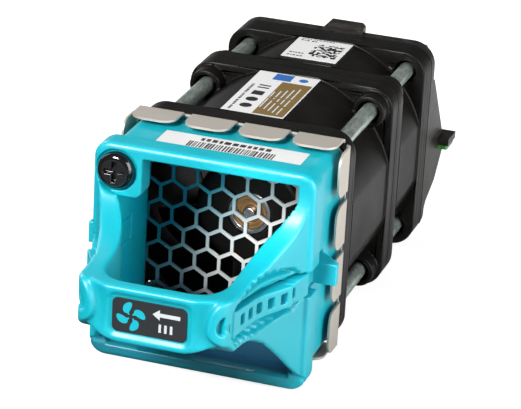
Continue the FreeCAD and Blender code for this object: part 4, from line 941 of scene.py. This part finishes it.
# %% Break the edges of the hard parts
EDGE_WIDTHS = {"rear_bracket": 0.35, "bezel_screw": 0.45, "connector_board": 0.1, "rod_nuts": 0.22,
               "tie_rods": 0.25, "board_screws": 0.15}
for side_name in ("top", "right", "bottom", "left"):
    EDGE_WIDTHS["finger_strip_" + side_name] = 0.12
for fan in ("front_", "rear_"):
    EDGE_WIDTHS.update({fan + "fan_frame": 0.35, fan + "hub_bush": 0.12, fan + "shaft": 0.15,
                        fan + "rotor_yoke": 0.2, fan + "impeller": 0.15, fan + "magnet_ring": 0.1})
for node, width in EDGE_WIDTHS.items():
    segments = 4 if node == "bezel_screw" else 2
    break_edges(node, width, segments, keep_triangles=node.endswith("fan_frame"))
print("edges broken on:", len(EDGE_WIDTHS), "solids")

# %% [markdown]
# ## The board's ear
# Under the nose of the bracket a green ear of the plug board looks out past the wing. It is a small
# rounded plate of its own, laid against the wing, because the solid board stops at the wing's inner face.

# %% Make the board's ear
EAR_OUTLINE = [(20.0, 65.7), (21.7, 65.7), (21.95, 66.0), (21.95, 70.5), (21.7, 70.85), (20.0, 70.85)]
EAR_UNDER, EAR_TOP = -4.5, -3.62

ear = prism(EAR_OUTLINE, EAR_UNDER, EAR_TOP, "board_ear")
ear.data.materials.append(finishes["board_green"])
round_off = ear.modifiers.new("broken_edges", "BEVEL")
round_off.width, round_off.segments = 0.08 * MM, 2
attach(ear, "module")
print("ear of the board, thickness in mm:", round(EAR_TOP - EAR_UNDER, 2))

# %% [markdown]
# ## What is printed on the labels
# The real labels carry names and numbers. Here they carry only plain shapes of the same weight: a fan
# wheel and an arrow at the front, bars on top, blocks of colour and a scatter of squares on the fans.
# Each ink is one thin mesh that lies a hair above its paper. An image texture would need a file, and
# shader maths for a hundred bars would be harder to read than a list of shapes.

# %% Inks
INK_FADES = 0.05     # how much lighter a rubbed ink is


def ink(name, colour, rough=0.45):
    """A thin layer of ink with a fine grain of its own."""
    faded = tuple(min(1.0, c + INK_FADES) for c in colour)
    return plain(name, colour, faded, rough, wear_amount=0.15, dust_amount=0.02, grain_size=0.15,
                 bump=0.004)


inks = {"black": ink("ink_black", (0.012, 0.012, 0.014)),
        "grey": ink("ink_grey", (0.55, 0.58, 0.60)),
        "teal": ink("ink_teal", (0.005, 0.40, 0.50)),
        "gold": ink("ink_gold", (0.19, 0.12, 0.035), 0.35),
        "blue": ink("ink_blue", (0.02, 0.12, 0.42))}
print("inks:", sorted(inks))


# %% Print flat shapes onto a label
def printed(name, colour, shapes, place):
    """Flat outlines in a label's own mm as one mesh; place turns (u, v) into a point on the label."""
    data = bpy.data.meshes.new(name)
    mesh = bmesh.new()
    for shape in shapes:
        corners = [mesh.verts.new([c * MM for c in place(u, v)]) for u, v in shape]
        mesh.faces.new(corners)
    bmesh.ops.triangulate(mesh, faces=mesh.faces)
    mesh.to_mesh(data)
    mesh.free()
    piece = new_piece(name, data)
    data.materials.append(inks[colour])
    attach(piece, "module")
    print(name, "shapes:", len(shapes))


# %% Shapes to print
def bar(u0, v0, u1, v1):
    """A rectangle as an outline that runs anticlockwise."""
    return [(u0, v0), (u1, v0), (u1, v1), (u0, v1)]


def disc(u, v, r):
    """A round spot."""
    return [(u + r * math.cos(i * math.pi / 12), v + r * math.sin(i * math.pi / 12)) for i in range(24)]


def scatter(n):
    """A repeatable number from 0 to 1 for a whole number."""
    return math.modf(abs(math.sin(n * 12.9898 + 4.1) * 43758.5453))[0]


def words(u0, u1, v0, v1, seed, letter=0.8):
    """A row of small blocks that reads as a line of print from afar."""
    row, u = [], u0
    while u < u1 - 0.2:
        wide = letter * (0.5 + 0.7 * scatter(seed))
        row.append(bar(u, v0, min(u1, u + wide), v1))
        u += wide + letter * (0.35 if scatter(seed + 0.5) < 0.8 else 0.9)
        seed += 1
    return row


print("blocks in a line 10 mm long:", len(words(0.0, 10.0, 0.0, 1.0, 1)))

# %% [markdown]
# ### The direction label
# A dark film on the bar says which way the air goes. Its wheel has four drop-shaped blades. One blade is
# worked out as a half width at each distance from the middle, bent a little forwards, and turned four
# times. Beside it stand an arrow and three short bars.

# %% Print the direction label
FRONT_PRINT = -44.915              # y of the ink, just in front of the film
WHEEL_CENTRE, BLADE_STEPS = -3.25, 14
BLADE_START, BLADE_LENGTH = 0.42, 2.18
WIDEST_AT, WIDEST_HALF, SWELL_REACH = 1.72, 0.86, 0.89
ARROW = [(0.55, 1.2), (1.85, 2.15), (1.85, 1.55), (5.45, 1.55), (5.45, 0.85), (1.85, 0.85), (1.85, 0.25)]
THREE_BARS = [bar(u, -1.95, u + 0.45, -0.45) for u in (1.7, 2.7, 3.7)]


def on_front(u, v):
    """A place on the direction label, measured from its middle."""
    return (u, FRONT_PRINT, v + MIDDLE)


def blade(turn):
    """One drop-shaped blade of the fan wheel, bent a little forwards."""
    left, right = [], []
    for k in range(BLADE_STEPS + 1):
        r = BLADE_START + BLADE_LENGTH * k / BLADE_STEPS
        swell = math.sqrt(max(0.0, 1 - ((r - WIDEST_AT) / SWELL_REACH) ** 2))
        half = max(0.10 + 0.28 * step(r, 0.4, 1.3), WIDEST_HALF * swell) * step(r, 2.62, 2.45)
        bend = 0.62 - 0.30 * (r - 0.4)
        for side, edge_line in ((-1, right), (1, left)):
            a = turn + bend + side * math.atan2(half, r)
            out = math.hypot(r, half)
            edge_line.append((WHEEL_CENTRE + out * math.cos(a), out * math.sin(a)))
    return right + left[::-1]


printed("fan_wheel_print", "teal", [blade(math.radians(t)) for t in (10, 100, 190, 280)],
        on_front)
printed("arrow_print", "grey", [ARROW, *THREE_BARS], on_front)

# %% [markdown]
# ### The label on top of the bezel
# A white paper label carries a code of thin bars between two lines of print. The bars' widths and gaps
# come from a repeatable scatter of numbers, so the code reads as a code and says nothing. The print is
# two rows of blocks.

# %% Print the bezel's label
BEZEL_PRINT = 19.03                # z of the ink, just above the paper
CODE_LEFT, CODE_RIGHT, CODE_FRONT, CODE_BACK = -6.2, 9.6, -12.6, -9.9
THINNEST_BAR, THICKER_BY, NARROWEST_GAP, WIDER_BY = 0.13, 0.30, 0.12, 0.22


def on_bezel(u, v):
    """A place on the bezel's label, in the module's own x and y."""
    return (u, v, BEZEL_PRINT)


bars, bar_left, count = [], CODE_LEFT, 0
while bar_left < CODE_RIGHT:
    wide = THINNEST_BAR + THICKER_BY * scatter(count)
    bars.append(bar(bar_left, CODE_FRONT, bar_left + wide, CODE_BACK))
    bar_left += wide + NARROWEST_GAP + WIDER_BY * scatter(count + 70)
    count += 1
upper_line = words(-4.6, 8.8, -9.2, -7.9, 3, 1.0)
lower_line = words(-10.6, 2.6, -14.6, -13.5, 31, 0.7)
printed("bezel_label_print", "black", bars + upper_line + lower_line, on_bezel)

# %% [markdown]
# ### The labels on the fans
# The front fan's label has a gold panel with light rows on it, a blue block and a few dark marks. The
# rear one has a square code and short lines. Inks that lie on one another need different heights, or they
# would flicker through each other, so the light rows lie a hair above the gold.

# %% Print the front fan's label
FAN_PRINT, OVER_GOLD = 19.83, 19.845


def on_fan(u, v):
    """A place on a fan's label, in the module's own x and y."""
    return (u, v, FAN_PRINT)


def on_gold(u, v):
    """The same place a hair above the gold panel."""
    return (u, v, OVER_GOLD)


def light_row(k, start, end):
    """Row k of the light print on the gold panel, as a slim bar along the module."""
    left, right = 3.9 - 1.0 * k, 4.18 - 1.0 * k
    return [(left, start), (right, start), (right, end), (left, end)]


light_rows = []
for k in range(5):
    for start, end in ((7.0 + 0.6 * k, 10.5 + k), (11.4 + k, 15.0), (15.6, 21.5 - 0.8 * k)):
        light_rows.append(light_row(k, start, end))
dark_marks = [[(q, p) for p, q in block][::-1] for block in words(6.4, 21.0, -5.1, -4.6, 11, 0.6)]
dark_marks += [disc(-2.6, 9.4, 1.15), disc(-2.6, 12.9, 1.15), bar(-3.7, 15.4, -1.5, 17.6),
               bar(-3.7, 19.2, -1.5, 19.8), bar(-3.7, 20.5, -1.5, 21.1)]
printed("front_fan_gold_print", "gold", [bar(-0.3, 6.0, 5.5, 24.0)], on_fan)
printed("front_fan_blue_print", "blue", [bar(-2.6, 24.6, 0.9, 28.0), disc(3.1, 26.2, 0.9)],
        on_fan)
printed("front_fan_light_print", "grey", light_rows, on_gold)
printed("front_fan_dark_print", "black", dark_marks, on_fan)

# %% Print the rear fan's label
CELL = 0.46
CODE_X, CODE_Y, COLUMNS, ROWS = -0.9, 40.4, 12, 16

squares = [bar(CODE_X + CELL * i, CODE_Y + CELL * j, CODE_X + CELL * (i + 1), CODE_Y + CELL * (j + 1))
           for i in range(COLUMNS) for j in range(ROWS) if scatter(i * 17 + j) < 0.5]
short_lines = words(-4.6, -1.4, 39.4, 39.9, 5, 0.5) + words(-4.6, -1.4, 41.0, 41.5, 9, 0.5)
short_lines += words(-4.6, -1.4, 48.6, 49.1, 15, 0.5) + words(-4.6, 2.0, 49.6, 49.95, 19, 0.5)
printed("rear_fan_print", "black", squares + short_lines, on_fan)

# %% [markdown]
# ## The floor
# A pale sweep stands under the module. The camera sees it as plain white, but the module shouldn't mirror
# a white floor, because its black sides would turn grey. So the floor asks the Light Path node who is
# looking: the camera gets a glowing white, and every other ray a card that is dark at the left and pale
# at the right.

# %% Lay the floor
FLOOR_REACH, FLOOR_GAP = 1.5, 0.0002    # metres

floor_data = bpy.data.meshes.new("floor")
floor_corners = [(x * FLOOR_REACH, y * FLOOR_REACH, 0) for x, y in ((-1, -1), (1, -1), (1, 1), (-1, 1))]
floor_data.from_pydata(floor_corners, [], [(0, 1, 2, 3)])
floor = new_piece("floor", floor_data)
floor.location.z = cad_low.z - FLOOR_GAP
print("floor at z mm:", round(floor.location.z * 1000, 2))

# %% Finish the floor
FLOOR_WHITE, FLOOR_GLOW = (0.5, 0.5, 0.5, 1), 0.8
CARD_DARK, CARD_PALE = (0.03, 0.03, 0.03, 1), (0.85, 0.85, 0.85, 1)

floor_finish = bpy.data.materials.new("pale_sweep")
floor_finish.use_nodes = True
floor_tree = floor_finish.node_tree
floor_shader = floor_tree.nodes["Principled BSDF"]
floor_shader.inputs["Roughness"].default_value = 0.7
floor_shader.inputs["Emission Color"].default_value = (1, 1, 1, 1)
by_camera = add_node(floor_tree, "ShaderNodeLightPath").outputs["Is Camera Ray"]
ground = own_axes(floor_tree)
to_the_right = maths(floor_tree, "ADD", ground[0], maths(floor_tree, "MULTIPLY", ground[1], 0.6))
card = mix_colour(floor_tree, spread(floor_tree, to_the_right, -0.02, 0.05, 0.0, 1.0), CARD_DARK, CARD_PALE)
shown = mix_colour(floor_tree, by_camera, card, FLOOR_WHITE)
floor_tree.links.new(shown, floor_shader.inputs["Base Color"])
floor_tree.links.new(maths(floor_tree, "MULTIPLY", by_camera, FLOOR_GLOW),
                     floor_shader.inputs["Emission Strength"])
floor_data.materials.append(floor_finish)
print("floor finish:", floor_finish.name)

# %% [markdown]
# ## Light
# Three soft lamps light the module, as in a product studio. The key stands in front, a little to the left
# and above. A large weak lamp at the right gives the pale sheen along the cheek and the fans, and one
# behind lifts the back. The surroundings stay dark, so that the black plastic stays black. A ring of
# equal lamps would be simpler, but it would flatten the ribs and the lip of the handle.

# %% Three soft lamps
def facing(azimuth, elevation):
    """The direction from the module to a place round it; azimuth 0 is in front, and both are in radians."""
    level = math.cos(elevation)
    return Vector((math.sin(azimuth) * level, -math.cos(azimuth) * level, math.sin(elevation)))


def hang(name, data, place, direction):
    """Puts a lamp in its place and turns it to look back along the direction."""
    item = new_piece(name, data)
    item.location = place
    item.rotation_euler = direction.to_track_quat("Z", "Y").to_euler()


def lamp(name, azimuth, elevation, distance, size, power):
    """A square soft lamp that looks at the origin; angles in degrees, lengths in metres, power in watts."""
    data = bpy.data.lights.new(name, "AREA")
    data.energy, data.size = power, size
    direction = facing(math.radians(azimuth), math.radians(elevation))
    hang(name, data, direction * distance, direction)


lamp("key_lamp", -17, 35, 0.9, 0.25, 12.0)
lamp("side_lamp", 76, 12, 0.6, 0.6, 5.8)
lamp("back_lamp", 235, 25, 0.9, 0.6, 3.0)

# %% [markdown]
# ### A narrow light on the hub
# The bronze bush deep in the duct would be lost in the dark behind the guard. A narrow spot shines on it
# through the mouth from nearly the camera's own side, so almost all that the camera sees of the hub is
# lit. A brighter key would wash out the bezel first.

# %% Light the hub
HUB_AZIMUTH, HUB_ELEVATION, HUB_DISTANCE = 0.28, 0.36, 0.6    # radians, radians, metres
HUB_POWER, HUB_CONE, HUB_BLEND, HUB_LAMP_SIZE = 16.0, math.radians(2.0), 0.7, 0.005

hub_data = bpy.data.lights.new("hub_spot", "SPOT")
hub_data.energy, hub_data.spot_size = HUB_POWER, HUB_CONE
hub_data.spot_blend, hub_data.shadow_soft_size = HUB_BLEND, HUB_LAMP_SIZE
hub_low, hub_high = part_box("front_hub_bush")
hub_centre = (Vector(hub_low) + Vector(hub_high)) / 2
hub_line = facing(HUB_AZIMUTH, HUB_ELEVATION)
hang("hub_spot", hub_data, hub_centre + hub_line * HUB_DISTANCE, hub_line)
print("hub light aims at mm:", [round(v * 1000, 1) for v in hub_centre])

# %% [markdown]
# ### Surroundings
# The camera sees plain white all round, and every other ray sees a nearly black room with a trace of
# light, which keeps the reflections calm. The Standard view leaves the colours as they were mixed.

# %% Set the surroundings
ROOM, BACKDROP = (0.09, 0.09, 0.09, 1), (1, 1, 1, 1)

world = bpy.data.worlds.new("studio")
bpy.context.scene.world = world
world.use_nodes = True
sky = world.node_tree
by_camera = add_node(sky, "ShaderNodeLightPath").outputs["Is Camera Ray"]
sky.links.new(mix_colour(sky, by_camera, ROOM, BACKDROP), sky.nodes["Background"].inputs["Color"])
bpy.context.scene.view_settings.view_transform = "Standard"
print("room light:", ROOM[0])

# %% [markdown]
# ## The camera
# The module is seen from the front, a little from the right and from above, through a long lens that
# keeps the sides nearly parallel. The camera looks back along a direction like the lamps', leans a
# little, and aims at a point inside the front fan.

# %% Aim the camera
AZIMUTH, ELEVATION, LEAN = math.radians(17.32), math.radians(22.21), math.radians(3.18)
DISTANCE = 0.5238                                 # metres
TARGET = Vector((-3.55, 24.85, -5.60)) * MM
SENSOR_WIDTH, LENS_LENGTH = 36, 191.2215          # mm

lens = bpy.data.cameras.new("camera")
lens.sensor_width, lens.lens = SENSOR_WIDTH, LENS_LENGTH
lens.clip_start, lens.clip_end = 0.01, 10
camera = new_piece("camera", lens)
view_axis = facing(AZIMUTH, ELEVATION)
level = view_axis.to_track_quat("Z", "Y").to_matrix()
turn = level @ Matrix.Rotation(LEAN, 3, "Z")
camera.matrix_world = Matrix.Translation(TARGET + view_axis * DISTANCE) @ turn.to_4x4()
bpy.context.scene.camera = camera
print("camera at mm:", [round(v * 1000, 1) for v in camera.location])
